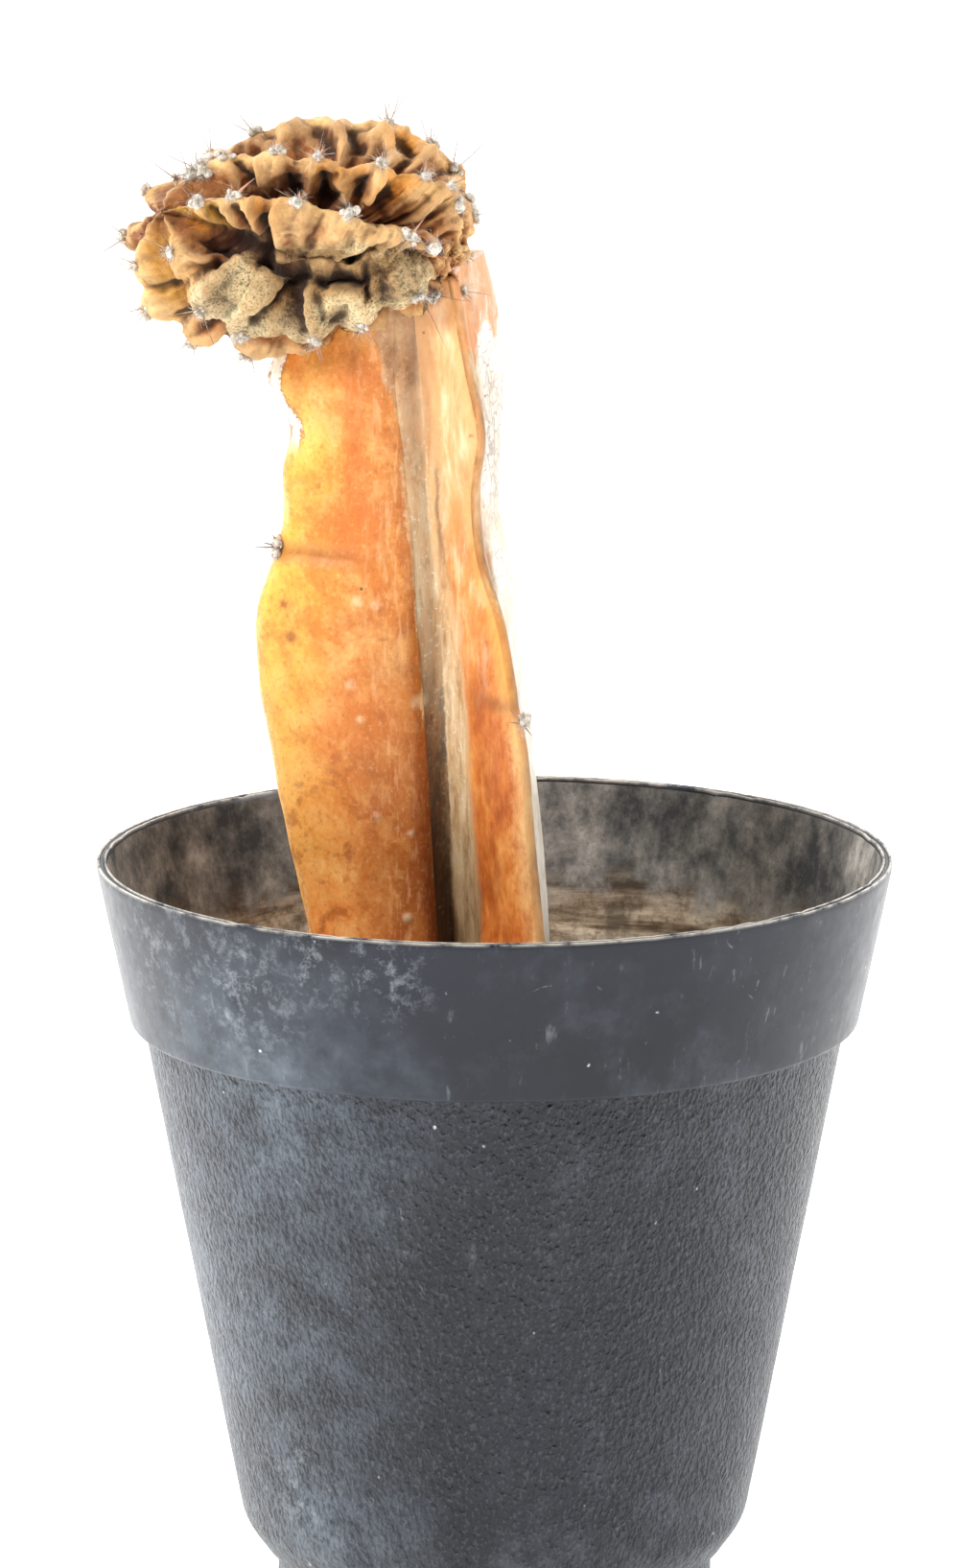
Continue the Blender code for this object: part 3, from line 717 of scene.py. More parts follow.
def make_rootstock(look):
    """The three-winged stem, closed on top, with its wings' values and marks for the material."""
    low, top = STALK_LOW[2], STALK_HIGH[2]
    heights = np.concatenate([np.linspace(low, 58, 8)[:-1], np.linspace(58, top, 300)])
    corners, travel = stalk_sections(heights)
    spread = np.linalg.norm(np.roll(corners, -1, 1) - corners, axis=-1).mean(0)
    steps = np.clip(np.round(spread / 0.42), 2, 16).astype(int)
    outline = round_trip(corners, steps)
    columns = outline.shape[1]
    points = np.concatenate([outline, np.repeat(heights[:, None, None], columns, 1)], -1)
    middle = np.concatenate([smooth(STALK_AXIS, heights), heights[:, None]], -1)[:, None, :]
    out = unit((points - middle) * [1, 1, 0])
    corner = np.repeat(np.arange(len(travel)), steps) + np.concatenate([np.arange(n) / n for n in steps])
    way = np.interp(corner, np.arange(len(travel) + 1), np.append(travel, travel[0] + 6))
    lift, pale, dark = stalk_relief(points, heights, way)
    points += out * lift[..., None]
    cap = points[-1:]
    lids = [middle[-1] + (cap - middle[-1]) * s + [0, 0, 0.25 * (1 - s)] for s in (0.9, 0.7, 0.45, 0.2, 0.0)]
    points = np.concatenate([points] + lids)
    stalk = mesh_from("rootstock_skin", points.reshape(-1, 3), grid_faces(len(points), columns))
    round_stem = {
        "back_wing": np.minimum(way % 6, 6 - way % 6),
        "rear": smooth_step(way % 6, 0.0, 0.10) * (way % 6 < 2),
        "left_wing": np.clip(past_wing(way, 2), -1.6, 1.6),
        "front_wing": np.clip(past_wing(way, 4), -1.6, 1.6),
    }
    for name, value in round_stem.items():
        carry(stalk, name, np.tile(value, len(points)))
    # The dark marks hold the dark dots and painted shade in the notch and fold
    for name, mark in (("pale", pale), ("dark", dark)):
        carry(stalk, name, np.concatenate([mark, np.repeat(mark[-1:], len(lids), 0)]))
    dress(stalk, look, "rootstock")


def past_wing(way, wing):
    """How far round the stem from a wing's edge, from -3 to 3."""
    return (way - wing + 3) % 6 - 3


def stalk_relief(points, heights, way):
    """How far the stem's skin is lifted, and how strong its pale and its dark marks are; the dark marks take
    in painted shade where the notch and fold press the skin in.
    """
    front, left = past_wing(way, 4), past_wing(way, 2)
    lined = ridge(front, -0.74, 0.30)
    right_crease = ridge(front, -0.41, 0.05) * np.clip((128 - heights) / 20, 0, 1)[:, None]
    grooved = ridge(front, -0.965, 0.03) + 0.7 * ridge(left, 0.93, 0.03)
    wobble = 0.20 * noise(points, 7.0, 21, 2) + 0.09 * noise(points * [1, 1, 0.30], 1.1, 22, 2)
    wobble += lined * (0.22 * noise(points * [1, 1, 0.16], 0.8, 23, 2)) - 0.35 * grooved - 0.3 * right_crease
    notch = ridge(heights, 119.4, 1.0)[:, None] * np.clip(1 - np.abs(left - 0.12) / 0.62, 0, 1)
    fold = ridge(heights, 104.2, 1.0)[:, None] * np.clip(1 - np.abs(front + 0.14) / 0.32, 0, 1)
    pale, dark = spots_on_front(points, PALE_DOTS), spots_on_front(points, DARK_DOTS)
    lift = wobble - 0.8 * notch - 0.6 * fold + 0.22 * pale
    # Dark marks: the dark dots and painted shade in the pressed notch and fold
    return lift, pale, np.maximum(dark, 0.8 * np.maximum(notch, fold))


def ridge(values, middle, width):
    """1 at the middle, falling off in a bell shape."""
    return np.exp(-((values - middle) / width) ** 2)


def stalk_textures(look):
    """What the stem's colours share: its noises, and the wings' values with a wandering edge.

    A wing's value is 0 on the wing's edge and grows to 1 or -1 in the valleys beside it.
    """
    height = look.height()
    strand = look.noise(620, 6.0, 0.68, look.stretch(1.0, 1.0, 0.26))
    blotch = look.noise(230, 6.0, 0.7, look.stretch(1.0, 1.0, 0.7))
    cloud = look.noise(95, 6.0, 0.64)
    grit = look.noise(1700, 4.0, 0.7)
    patches = look.minus(look.plus(blotch, look.times(grit, 0.6)), 0.8)
    wander = look.plus(look.sway(strand, 0.12), look.times(patches, 0.14))
    front = look.plus(look.value("front_wing"), wander)
    bank = look.times(look.span(height, 98.0, 112.0, 0.0, 0.055), look.fall(height, 124.0, 138.0))
    return {
        "height": height,
        "strand": strand,
        "blotch": blotch,
        "cloud": cloud,
        "grit": grit,
        "fibre": look.noise(1500, 4.0, 0.6, look.stretch(1.0, 1.0, 0.22)),
        "veins": look.cells(520, "DISTANCE_TO_EDGE", look.noise_warp(look.place, 420, 0.004)),
        "left": look.plus(look.value("left_wing"), wander),
        "front": front,
        "back": look.plus(look.value("back_wing"), look.sway(cloud, 0.9)),
        "bank": look.plus(front, bank),
    }


def stalk_look():
    look = Look("dried stem")
    textures = stalk_textures(look)
    strand, blotch = textures["strand"], textures["blotch"]
    base = stalk_left_side(look, **textures)
    base = look.over(base, stalk_right_side(look, **textures), look.span(textures["front"], -0.56, -0.50))
    for lay in (stalk_cream, stalk_groove, stalk_left_edge, stalk_back, stalk_marks):
        base = lay(look, base, **textures)
    relief = look.bump(blotch, 0.25, 0.0004, look.bump(textures["grit"], 0.18, 0.00018))
    return look.finish(Base_Color=base, Roughness=0.45, Subsurface_Weight=0.12, Subsurface_Scale=0.0015,
                       Specular_IOR_Level=0.38, Normal=look.bump(strand, 0.30, 0.0004, relief))


def stalk_left_side(look, height, left, cloud, blotch, strand, fibre, grit, veins, **_):
    """Gold by the wing's thin edge as a painted glow of light shining through it, orange over the puffy
    side, redder towards the pot with painted shade low down away from the edge, and marbled.
    """
    fall, over, ramp, span = look.fall, look.over, look.ramp, look.span
    off_edge = look.math("ABSOLUTE", left)
    gold = ramp(blotch, (0.33, "#e48d2f"), (0.48, "#f1ab41"), (0.66, "#fac763"))
    orange = ramp(blotch, (0.30, "#bf6420"), (0.44, "#d57c2f"), (0.56, "#e08c3e"), (0.72, "#eba558"))
    russet = ramp(blotch, (0.30, "#9c4716"), (0.45, "#bb5f20"), (0.58, "#d0762d"), (0.72, "#e39345"))
    flushed = ramp(blotch, (0.33, "#d87427"), (0.48, "#f49a4e"), (0.64, "#ffb870"))
    tanned = ramp(strand, (0.36, "#8a5526"), (0.50, "#c48442"), (0.64, "#dfae6c"))
    level = look.plus(height, look.sway(cloud, 30.0))
    low = look.times(fall(level, 74.0, 102.0), span(off_edge, 0.10, 0.60, 0.20, 1.0))
    marble = look.noise(300, 4.0, 0.62, look.noise_warp(look.place, 160, 0.006))
    # Painted glow: gold towards the thin wing edge, where light shines through
    base = over(orange, gold, fall(look.plus(off_edge, look.times(cloud, 0.6)), 0.36, 0.76))
    return look.layers(base, (
        ("#dc7526", span(cloud, 0.50, 0.62), 0.6),
        ("#f8c176", span(cloud, 0.47, 0.36), 0.5),
        # More painted glow in patches close to the edge
        ("#fac14f", span(off_edge, 0.42, 0.08), span(look.noise(70, 3.0, 0.5), 0.44, 0.58), 0.6),
        (russet, look.either(low, span(level, 68.0, 84.0, 0.9, 0.0))),
        (flushed, span(level, 76.0, 102.0, 0.9, 0.0), span(off_edge, 0.75, 0.25)),
        # Painted shade: darker low down and away from the wing's edge
        ("#8c4620", span(off_edge, 0.30, 0.80), span(height, 82.0, 104.0, 0.9, 0.1),
         span(blotch, 0.36, 0.60, 1.0, 0.5)),
        ("#c47c3e", span(off_edge, 0.42, 0.78), span(height, 94.0, 126.0, 0.3, 0.95),
         span(strand, 0.35, 0.60)),
        (tanned, look.times(fall(left, -0.12, -0.02), span(cloud, 0.40, 0.56, 0.25, 0.9))),
        ("#a85420", span(marble, 0.53, 0.64), span(height, 76.0, 108.0, 0.7, 0.32)),
        ("#f7b768", span(marble, 0.46, 0.36), 0.30),
        ("#a9561c", span(veins, 0.0, 0.07, 0.22, 0.0), span(blotch, 0.48, 0.62)),
        ("#a8561f", span(grit, 0.54, 0.68), 0.42),
        ("#ffdf9f", span(grit, 0.43, 0.32), 0.22),
        ("#f7bd84", look.band(left, 0.58, 0.86, 0.10), span(fibre, 0.52, 0.66), 0.45),
    ))


def stalk_right_side(look, height, front, blotch, strand, fibre, **_):
    """The narrow side right of the groove, orange below, pale near the top and by the wing's edge."""
    ramp, span = look.ramp, look.span
    right = ramp(blotch, (0.31, "#a04817"), (0.45, "#bf6222"), (0.56, "#d67c34"), (0.70, "#eaa255"))
    ochre = ramp(blotch, (0.34, "#c26f2a"), (0.50, "#d98b40"), (0.66, "#ebab66"))
    pale = ramp(strand, (0.34, "#dc9459"), (0.50, "#eeb27c"), (0.66, "#f8d2a6"))
    return look.layers(right, (
        ("#e89c50", span(fibre, 0.53, 0.64), 0.30),
        ("#8a3d13", look.band(front, -0.34, -0.24, 0.12), span(height, 84.0, 108.0, 0.8, 0.1),
         span(strand, 0.42, 0.54)),
        (ochre, span(height, 101.0, 117.0, 0.0, 0.75)),
        (pale, span(strand, 0.46, 0.60), span(height, 100.0, 118.0, 0.0, 0.6)),
        (pale, span(height, 114.0, 132.0)),
        (look.over("#f3c584", "#f2aa52", span(height, 98.0, 108.0)), span(front, -0.12, -0.02),
         span(strand, 0.34, 0.56, 0.45, 0.9), span(height, 112.0, 124.0, 1.0, 0.5)),
    ))


def stalk_cream(look, base, height, front, bank, blotch, strand, fibre, grit, **_):
    """The dried cream side of the groove, wider near the top, darkened towards the bottom by painted shade.
    """
    band, ramp, span = look.band, look.ramp, look.span
    cream = ramp(strand, (0.36, "#b98e60"), (0.46, "#d3ae80"), (0.56, "#dfc096"), (0.66, "#ebd3ac"))
    cream = look.layers(cream, (
        ("#946c3e", span(fibre, 0.53, 0.62), 0.38),
        ("#fbf5e6", span(grit, 0.58, 0.66), 0.5),
        # Painted shade: the cream darkens towards the bottom, near the pot
        (ramp(strand, (0.4, "#86693f"), (0.6, "#c2a675")), span(height, 70.0, 94.0, 0.65, 0.0)),
        (ramp(blotch, (0.4, "#a77f5c"), (0.6, "#cfa27a")), span(height, 128.0, 141.0, 0.0, 0.9)),
        # More painted shade, darker still towards the bottom
        (ramp(strand, (0.38, "#4f3824"), (0.62, "#8d6c4a")), span(height, 77.0, 97.0, 0.78, 0.0)),
        ("#eeb06e", span(height, 106.0, 122.0, 0.0, 0.55), span(front, -0.95, -0.45)),
    ))
    wider = look.plus(span(height, 96.0, 112.0, 0.0, 0.065), span(height, 128.0, 138.0, 0.0, 0.08))
    return look.layers(base, (
        (cream, span(bank, -1.04, -1.00), band(look.minus(front, wider), -2.0, -0.47, 0.04)),
        ("#86684a", band(front, -0.46, -0.39, 0.03), band(height, 116.0, 132.0, 4.0),
         span(strand, 0.40, 0.52), 0.75),
    ))


def stalk_groove(look, base, height, left, front, bank, blotch, strand, grit, **_):
    """The brown strip left of the groove, darkened towards the bottom by painted shade, painted shade in its
    crease and a painted shadow line where it starts.
    """
    ramp, span = look.ramp, look.span
    brown = ramp(strand, (0.36, "#7d5029"), (0.46, "#c08a52"), (0.55, "#e0ae74"), (0.64, "#ffe0b0"))
    brown = look.layers(brown, (
        # Painted shade: darker towards the bottom
        (ramp(strand, (0.36, "#3f2411"), (0.6, "#7c5230")), span(height, 84.0, 102.0, 0.8, 0.0)),
        (ramp(blotch, (0.36, "#b3824f"), (0.48, "#e3b07c"), (0.60, "#ffdcaa")), span(height, 106.0, 122.0)),
        (ramp(blotch, (0.38, "#93653f"), (0.58, "#c9966a")), span(height, 126.0, 138.0, 0.0, 0.8)),
        ("#e6d6bb", span(grit, 0.58, 0.66), 0.4),
    ))
    wider = look.plus(span(height, 114.0, 126.0, 0.0, 0.06), span(height, 136.0, 147.0, 0.0, 0.17))
    return look.layers(base, (
        (brown, span(look.plus(left, wider), 0.862, 0.885), look.fall(bank, -1.00, -0.96)),
        # Painted shade in the groove's crease
        ("#4a2c14", look.band(front, -1.06, -0.93, 0.02), span(strand, 0.35, 0.55),
         span(height, 98.0, 116.0, 0.85, 0.2)),
        # Painted shadow under the puffy flank's edge, where the strip starts
        ("#8a4a1e", look.band(left, 0.845, 0.875, 0.01), span(height, 60.0, 118.0, 0.7, 0.2)),
    ))


def stalk_left_edge(look, base, height, left, blotch, **_):
    """The left wing's edge, pale with a painted glow, and the white flap of skin near its top."""
    band = look.band
    lines = look.either(band(left, 0.096, 0.112, 0.006), band(left, -0.03, 0.014, 0.006))
    return look.layers(base, (
        # Painted glow along the wing's very edge
        ("#f0c07c", band(left, -0.03, 0.03, 0.015), 0.5),
        ("#b06a28", band(left, 0.018, 0.030, 0.006), look.span(blotch, 0.36, 0.52), 0.55),
        (look.ramp(blotch, (0.35, "#e2d3b8"), (0.6, "#f6efe2")), band(left, -0.16, 0.10, 0.006),
         band(height, 131.5, 148.0, 1.2)),
        ("#a0652c", look.times(lines, band(height, 131.5, 148.0, 1.2)), 0.85),
    ))


def stalk_back(look, base, height, back, cloud, blotch, strand, fibre, veins, **_):
    """Papery skin behind the front wing, browner in the valley and on the side turned away."""
    ramp, span = look.ramp, look.span
    rear = look.value("rear")
    inner = span(back, 0.50, 0.66)
    hidden = ramp(strand, (0.34, "#765636"), (0.46, "#a07a4e"), (0.56, "#bd9a6b"), (0.68, "#d6bb91"))
    hidden = look.over(hidden, ramp(blotch, (0.36, "#9c5526"), (0.6, "#cd8540")),
                       look.times(span(cloud, 0.47, 0.57), span(strand, 0.38, 0.54), 0.75))
    bark = ramp(strand, (0.36, "#8d5a34"), (0.48, "#bd7d4a"), (0.62, "#dba472"))
    bark = look.over(bark, "#dd8c48", span(rear, 0.0, 1.0, 0.65, 0.0))
    papery = ramp(blotch, (0.33, "#d9cab0"), (0.48, "#ece2d0"), (0.64, "#f8f3ea"))
    papery = look.layers(papery, (
        (ramp(blotch, (0.33, "#8f7350"), (0.48, "#b39c7a"), (0.64, "#cbbb9f")), rear),
        (hidden, inner),
        ("#a37f55", span(fibre, 0.56, 0.64), span(rear, 0.0, 1.0, 0.22, 0.5)),
        ("#8a5e3e", span(veins, 0.0, 0.06, 0.7, 0.0), span(height, 106.0, 114.0),
         span(blotch, 0.42, 0.56, 0.25, 0.9), span(inner, 0.0, 1.0, 1.0, 0.3)),
        ("#9b8b7e", look.band(look.plus(height, look.sway(cloud, 30.0)), 125.0, 137.0, 3.0),
         span(veins, 0.0, 0.12, 0.9, 0.35), span(back, 0.60, 0.44), span(rear, 0.0, 1.0, 1.0, 0.35)),
        (bark, span(look.plus(height, look.sway(cloud, 34.0)), 141.0, 144.0),
         span(blotch, 0.36, 0.5, 0.3, 0.9)),
        (ramp(strand, (0.36, "#7d5a36"), (0.62, "#c39a66")), span(cloud, 0.52, 0.60, 0.0, 0.6),
         span(rear, 0.0, 1.0, 0.35, 1.0)),
    ))
    sharp_front = look.value("front_wing")
    return look.layers(base, (
        (papery, look.either(span(sharp_front, -0.012, 0.012), span(back, 0.72, 0.66))),
        ("#8a5a34", look.band(sharp_front, -0.022, -0.006, 0.005), span(height, 108.0, 122.0, 0.35, 1.0),
         span(blotch, 0.36, 0.5), 0.75),
    ))


def stalk_marks(look, base, blotch, **_):
    """Pale and dark dots, painted shade in the pressed notch and fold, and scattered specks."""
    span = look.span
    return look.layers(base, (
        ("#fbe3b8", look.value("pale"), span(blotch, 0.35, 0.55), 0.65),
        # Dark dots, and painted shade in the pressed notch and fold
        ("#8f4c1d", look.value("dark"), span(blotch, 0.3, 0.55, 0.4, 0.9)),
        ("#3c2413", look.fall(look.cells(230), 0.03, 0.06), span(look.noise(170, 2.0), 0.53, 0.6), 0.8),
    ))


# ---------------------------------------------------------------- scion

SCION_NEAR = (-3.0, -6.0, 159.2)
SCION_FAR = (-40.6, 2.0, 151.6)
SCION_GIRTH = 13.4
BLUNTNESS = 0.85
ROOT_POLE = (-0.92, -0.28, 0.28)
CROWN_POLE = (0.63, 0.40, 0.66)
# Ribs of the head: turn of the crest and of the valley after it near, half way and far along, in
# degrees; that valley's depth at the same places; where the areoles are; how far the rib has withered
RIBS = [
    ((-34, -26, -34), (-2, 12, -24), (0.36, 0.36, 0.36), (0.12, 0.20, 0.29, 0.40, 0.53, 0.68, 0.82), 0.20),
    ((4, 25, -12), (62, 58, 38), (0.46, 0.52, 0.44), (0.11, 0.17, 0.25, 0.38, 0.55, 0.66, 0.78), 0.05),
    ((84, 66, 52), (108, 125, 114), (0.34, 0.42, 0.54), (0.12, 0.22, 0.42, 0.57, 0.76, 0.88), 0.0),
    ((166, 178, 158), (184, 190, 186), (0.26, 0.28, 0.28), (0.16, 0.30, 0.40, 0.56, 0.68, 0.86), 0.0),
    ((200, 203, 212), (214, 222, 228), (0.30, 0.32, 0.30), (0.13, 0.50, 0.62, 0.74, 0.85), 0.0),
    ((232, 240, 244), (246, 256, 260), (0.30, 0.32, 0.30), (0.15, 0.28, 0.42, 0.56, 0.70, 0.83), 0.0),
    ((262, 272, 276), (278, 288, 292), (0.30, 0.32, 0.30), (0.13, 0.26, 0.40, 0.54, 0.68, 0.82), 0.08),
    ((292, 300, 302), (308, 317, 316), (0.28, 0.30, 0.28), (0.15, 0.28, 0.42, 0.57, 0.72, 0.85), 0.18),
]
# An areole without wool or spines, by rib and place; then woolly places by the crown, on no rib
BARE_AREOLE = (0, 0.53)
CROWN_RIB = 9
CROWN_WOOL = [(1.03, 0.86), (1.07, 0.885), (1.15, 0.85), (1.0, 0.84)]
CREST_ROUNDING = 0.16
FOLD_HEIGHT = 1.5
CREST_NICK = 0.7

LONG_AXIS = unit(np.subtract(SCION_FAR, SCION_NEAR))
UPWARD = unit(np.array([0.0, 0.0, 1.0]) - LONG_AXIS * LONG_AXIS[2])
FRONTWARD = np.cross(UPWARD, LONG_AXIS)
FRONTWARD = -FRONTWARD if FRONTWARD[1] > 0 else FRONTWARD
SCION_MIDDLE = np.add(SCION_NEAR, SCION_FAR) / 2
SCION_HALF = float(np.linalg.norm(np.subtract(SCION_FAR, SCION_NEAR))) / 2
ROOT, CROWN = unit(ROOT_POLE), unit(CROWN_POLE)
CHORD = unit(CROWN - ROOT)
CHORD_MIDDLE = (CROWN + ROOT) / 2
SIDE = unit(np.array([0.0, 1.0, 0.0]) - CHORD * CHORD[1])
FRONT = np.cross(CHORD, SIDE)
FRONT = FRONT if FRONT[2] > 0 else -FRONT


def bend(three, share):
    """A value given near the root, half way and near the crown, read anywhere between."""
    near, half, far = three
    u = (share - 0.5) / 0.32
    return half + u * (far - near) / 2 + u * u * ((near + far) / 2 - half)


def skin_point(share, turn, shrink, lift):
    """A point on the blunt egg of the head, on the arc from root to crown that has this turn."""
    turn = np.radians(turn)[..., None]
    normal = SIDE * np.cos(turn) + FRONT * np.sin(turn)
    sink = -(normal @ CHORD_MIDDLE)
    radius = np.sqrt(1 - CHORD_MIDDLE @ CHORD_MIDDLE + sink * sink)
    swing = (2 * share - 1) * np.arccos(-sink / radius)
    ball = CHORD_MIDDLE + normal * (sink + radius * np.cos(swing))[..., None]
    ball = ball + CHORD * (radius * np.sin(swing))[..., None]
    girth = SCION_GIRTH * np.maximum(np.hypot(ball[..., 1], ball[..., 2]), 0.02) ** (BLUNTNESS - 1)
    offset = LONG_AXIS * ball[..., :1] * SCION_HALF + UPWARD * (ball[..., 1] * girth)[..., None]
    offset = offset + FRONTWARD * (ball[..., 2] * girth)[..., None]
    return SCION_MIDDLE + offset * (1 - shrink)[..., None] + unit(offset) * lift[..., None]


def rib_skin(lane, share, folds=1.0, nicks=1.0):
    """Skin at a lane, whose whole numbers are crests and whose halves are valleys."""
    given = [np.asarray(v, float) for v in (lane, share, folds, nicks)]
    lane, share, folds, nicks = np.broadcast_arrays(*given)
    result = np.zeros(lane.shape + (3,))
    nearest = np.floor(lane + 0.5).astype(int)
    for index in np.unique(nearest % len(RIBS)):
        here = (nearest % len(RIBS)) == index
        across = 2 * (lane - nearest)[here]
        at = share[here]
        size = np.abs(across)
        crest, after, depth_after, areoles, wither = RIBS[index]
        before, depth_before, wither_before = RIBS[index - 1][1], RIBS[index - 1][2], RIBS[index - 1][4]
        turn_crest = bend(crest, at)
        turn_before = bend(before, at) - (360 if index == 0 else 0)
        turn_valley = np.where(across > 0, bend(after, at), turn_before)
        depth = np.where(across > 0, bend(depth_after, at), bend(depth_before, at))
        steep = np.sqrt(size * size + CREST_ROUNDING**2) - CREST_ROUNDING
        steep = steep / (math.hypot(1, CREST_ROUNDING) - CREST_ROUNDING)
        fall = 0.55 * steep + 0.45 * steep**2
        fade = np.sin(np.pi * at) ** 0.6
        phase = np.interp(at, (0.0, *areoles, 1.0), range(len(areoles) + 2))
        wave = 2 * np.abs(np.cos(np.pi * phase)) - 1
        lift = fade * folds[here] * FOLD_HEIGHT * wave * 4 * size * (1 - size)
        lift = lift + fade * nicks[here] * CREST_NICK * (wave - 1) * (1 - size) ** 2
        beside = np.where(across > 0, RIBS[(index + 1) % len(RIBS)][4], wither_before)
        loss = (wither + (beside - wither) * 0.5 * size) * fade * at * at * 1.6
        turn = turn_crest + (turn_valley - turn_crest) * size
        result[here] = skin_point(at, turn, depth * fade * fall + loss, lift)
    return result


# Folds pressed into the skin: (height, half width, then points of (share, lane)), hollows below 0
STROKES = [
    (-1.9, 0.7, [(0.66, 2.56), (0.58, 2.565), (0.50, 2.57), (0.443, 2.595)]),
    (-2.2, 0.8, [(0.443, 2.60), (0.40, 2.635), (0.35, 2.65), (0.29, 2.66), (0.24, 2.69)]),
    (1.1, 0.8, [(0.64, 2.50), (0.55, 2.515), (0.475, 2.54), (0.41, 2.555), (0.35, 2.55)]),
    (1.0, 0.8, [(0.35, 2.58), (0.29, 2.56), (0.24, 2.55), (0.18, 2.54), (0.12, 2.53)]),
    (-2.0, 0.7, [(0.32, 2.49), (0.29, 2.42), (0.26, 2.34)]),
    (0.8, 0.8, [(0.36, 2.48), (0.34, 2.36), (0.325, 2.20), (0.28, 2.04)]),
    (0.9, 3.2, [(0.61, 2.64), (0.60, 2.76), (0.61, 2.88)]),
    (1.1, 0.9, [(0.705, 2.60), (0.71, 2.70), (0.71, 2.81), (0.70, 2.93)]),
    (-1.6, 0.8, [(0.495, 2.58), (0.50, 2.67), (0.513, 2.77), (0.54, 2.88), (0.55, 2.97)]),
    (-1.3, 0.7, [(0.483, 2.60), (0.470, 2.72), (0.455, 2.82), (0.435, 2.92), (0.42, 3.0)]),
    (0.6, 1.3, [(0.495, 2.90), (0.49, 3.0)]),
    (0.9, 0.7, [(0.455, 2.65), (0.445, 2.75), (0.43, 2.86), (0.41, 2.97)]),
    (-0.8, 0.6, [(0.43, 2.68), (0.413, 2.75), (0.395, 2.84), (0.378, 2.92)]),
    (0.8, 0.8, [(0.405, 2.68), (0.375, 2.71), (0.35, 2.75), (0.312, 2.78)]),
    (0.5, 1.7, [(0.35, 2.77), (0.335, 2.83)]),
    (-0.9, 1.2, [(0.278, 2.72), (0.268, 2.85)]),
    (-0.8, 1.1, [(0.365, 2.91), (0.345, 2.97)]),
    (0.5, 0.6, [(0.305, 2.85), (0.295, 2.93), (0.29, 3.0)]),
    (0.6, 2.2, [(0.20, 2.66), (0.18, 2.80), (0.17, 2.92)]),
    (-1.3, 1.1, [(0.745, 2.58), (0.76, 2.70), (0.775, 2.80)]),
    (1.0, 0.55, [(0.85, 2.95), (0.835, 2.88), (0.80, 2.83), (0.76, 2.70), (0.735, 2.58)]),
    (-1.5, 2.2, [(0.86, 2.56), (0.82, 2.62), (0.80, 2.68)]),
    (-2.4, 0.9, [(0.665, 2.12), (0.655, 2.30), (0.645, 2.46)]),
    (1.0, 0.8, [(0.735, 2.06), (0.70, 2.20), (0.68, 2.42)]),
    (-0.9, 0.6, [(0.765, 2.10), (0.735, 2.25), (0.715, 2.42)]),
    (0.9, 0.8, [(0.81, 2.08), (0.775, 2.22), (0.755, 2.42)]),
    (-0.9, 0.6, [(0.85, 2.10), (0.82, 2.25), (0.79, 2.42)]),
    (0.8, 0.7, [(0.885, 2.08), (0.86, 2.25), (0.83, 2.42)]),
    (0.9, 0.9, [(0.615, 2.05), (0.62, 2.20), (0.605, 2.45)]),
    (1.3, 0.7, [(0.465, 1.12), (0.43, 1.25), (0.40, 1.35)]),
    (-1.6, 1.2, [(0.53, 1.18), (0.50, 1.30), (0.48, 1.42)]),
    (-1.6, 1.0, [(0.43, 1.10), (0.405, 1.22), (0.385, 1.35)]),
    (1.4, 0.8, [(0.375, 1.05), (0.365, 1.18), (0.35, 1.32)]),
    (-0.8, 1.4, [(0.30, 1.15), (0.30, 1.35)]),
    (-0.7, 0.9, [(0.56, 0.10), (0.54, 0.25), (0.51, 0.38)]),
    (1.1, 0.7, [(0.515, 0.12), (0.505, 0.17), (0.485, 0.24), (0.46, 0.36), (0.45, 0.46)]),
    (-0.7, 0.8, [(0.465, 0.10), (0.45, 0.22), (0.42, 0.34)]),
    (1.1, 0.7, [(0.41, 0.11), (0.395, 0.16), (0.36, 0.22), (0.32, 0.33), (0.32, 0.45)]),
    (-0.7, 0.7, [(0.36, 0.08), (0.33, 0.16), (0.29, 0.28)]),
    (0.7, 0.6, [(0.27, 0.08), (0.265, 0.22), (0.26, 0.40)]),
    (0.7, 1.9, [(0.64, 0.0), (0.60, 0.0), (0.57, 0.0)]),
    (0.5, 1.6, [(0.37, 0.0), (0.34, 0.0)]),
    (-1.2, 0.6, [(0.76, 1.0), (0.755, 1.20), (0.74, 1.35)]),
    (0.8, 0.6, [(0.71, 1.05), (0.71, 1.30)]),
    (-1.0, 0.9, [(0.63, 1.20), (0.61, 1.35)]),
]


def along(points, steps=14):
    """Points along a smooth curve through a few (share, lane) points."""
    table = [(i, *point) for i, point in enumerate(points)]
    return smooth(table, np.linspace(0, len(points) - 1, steps * (len(points) - 1) + 1))


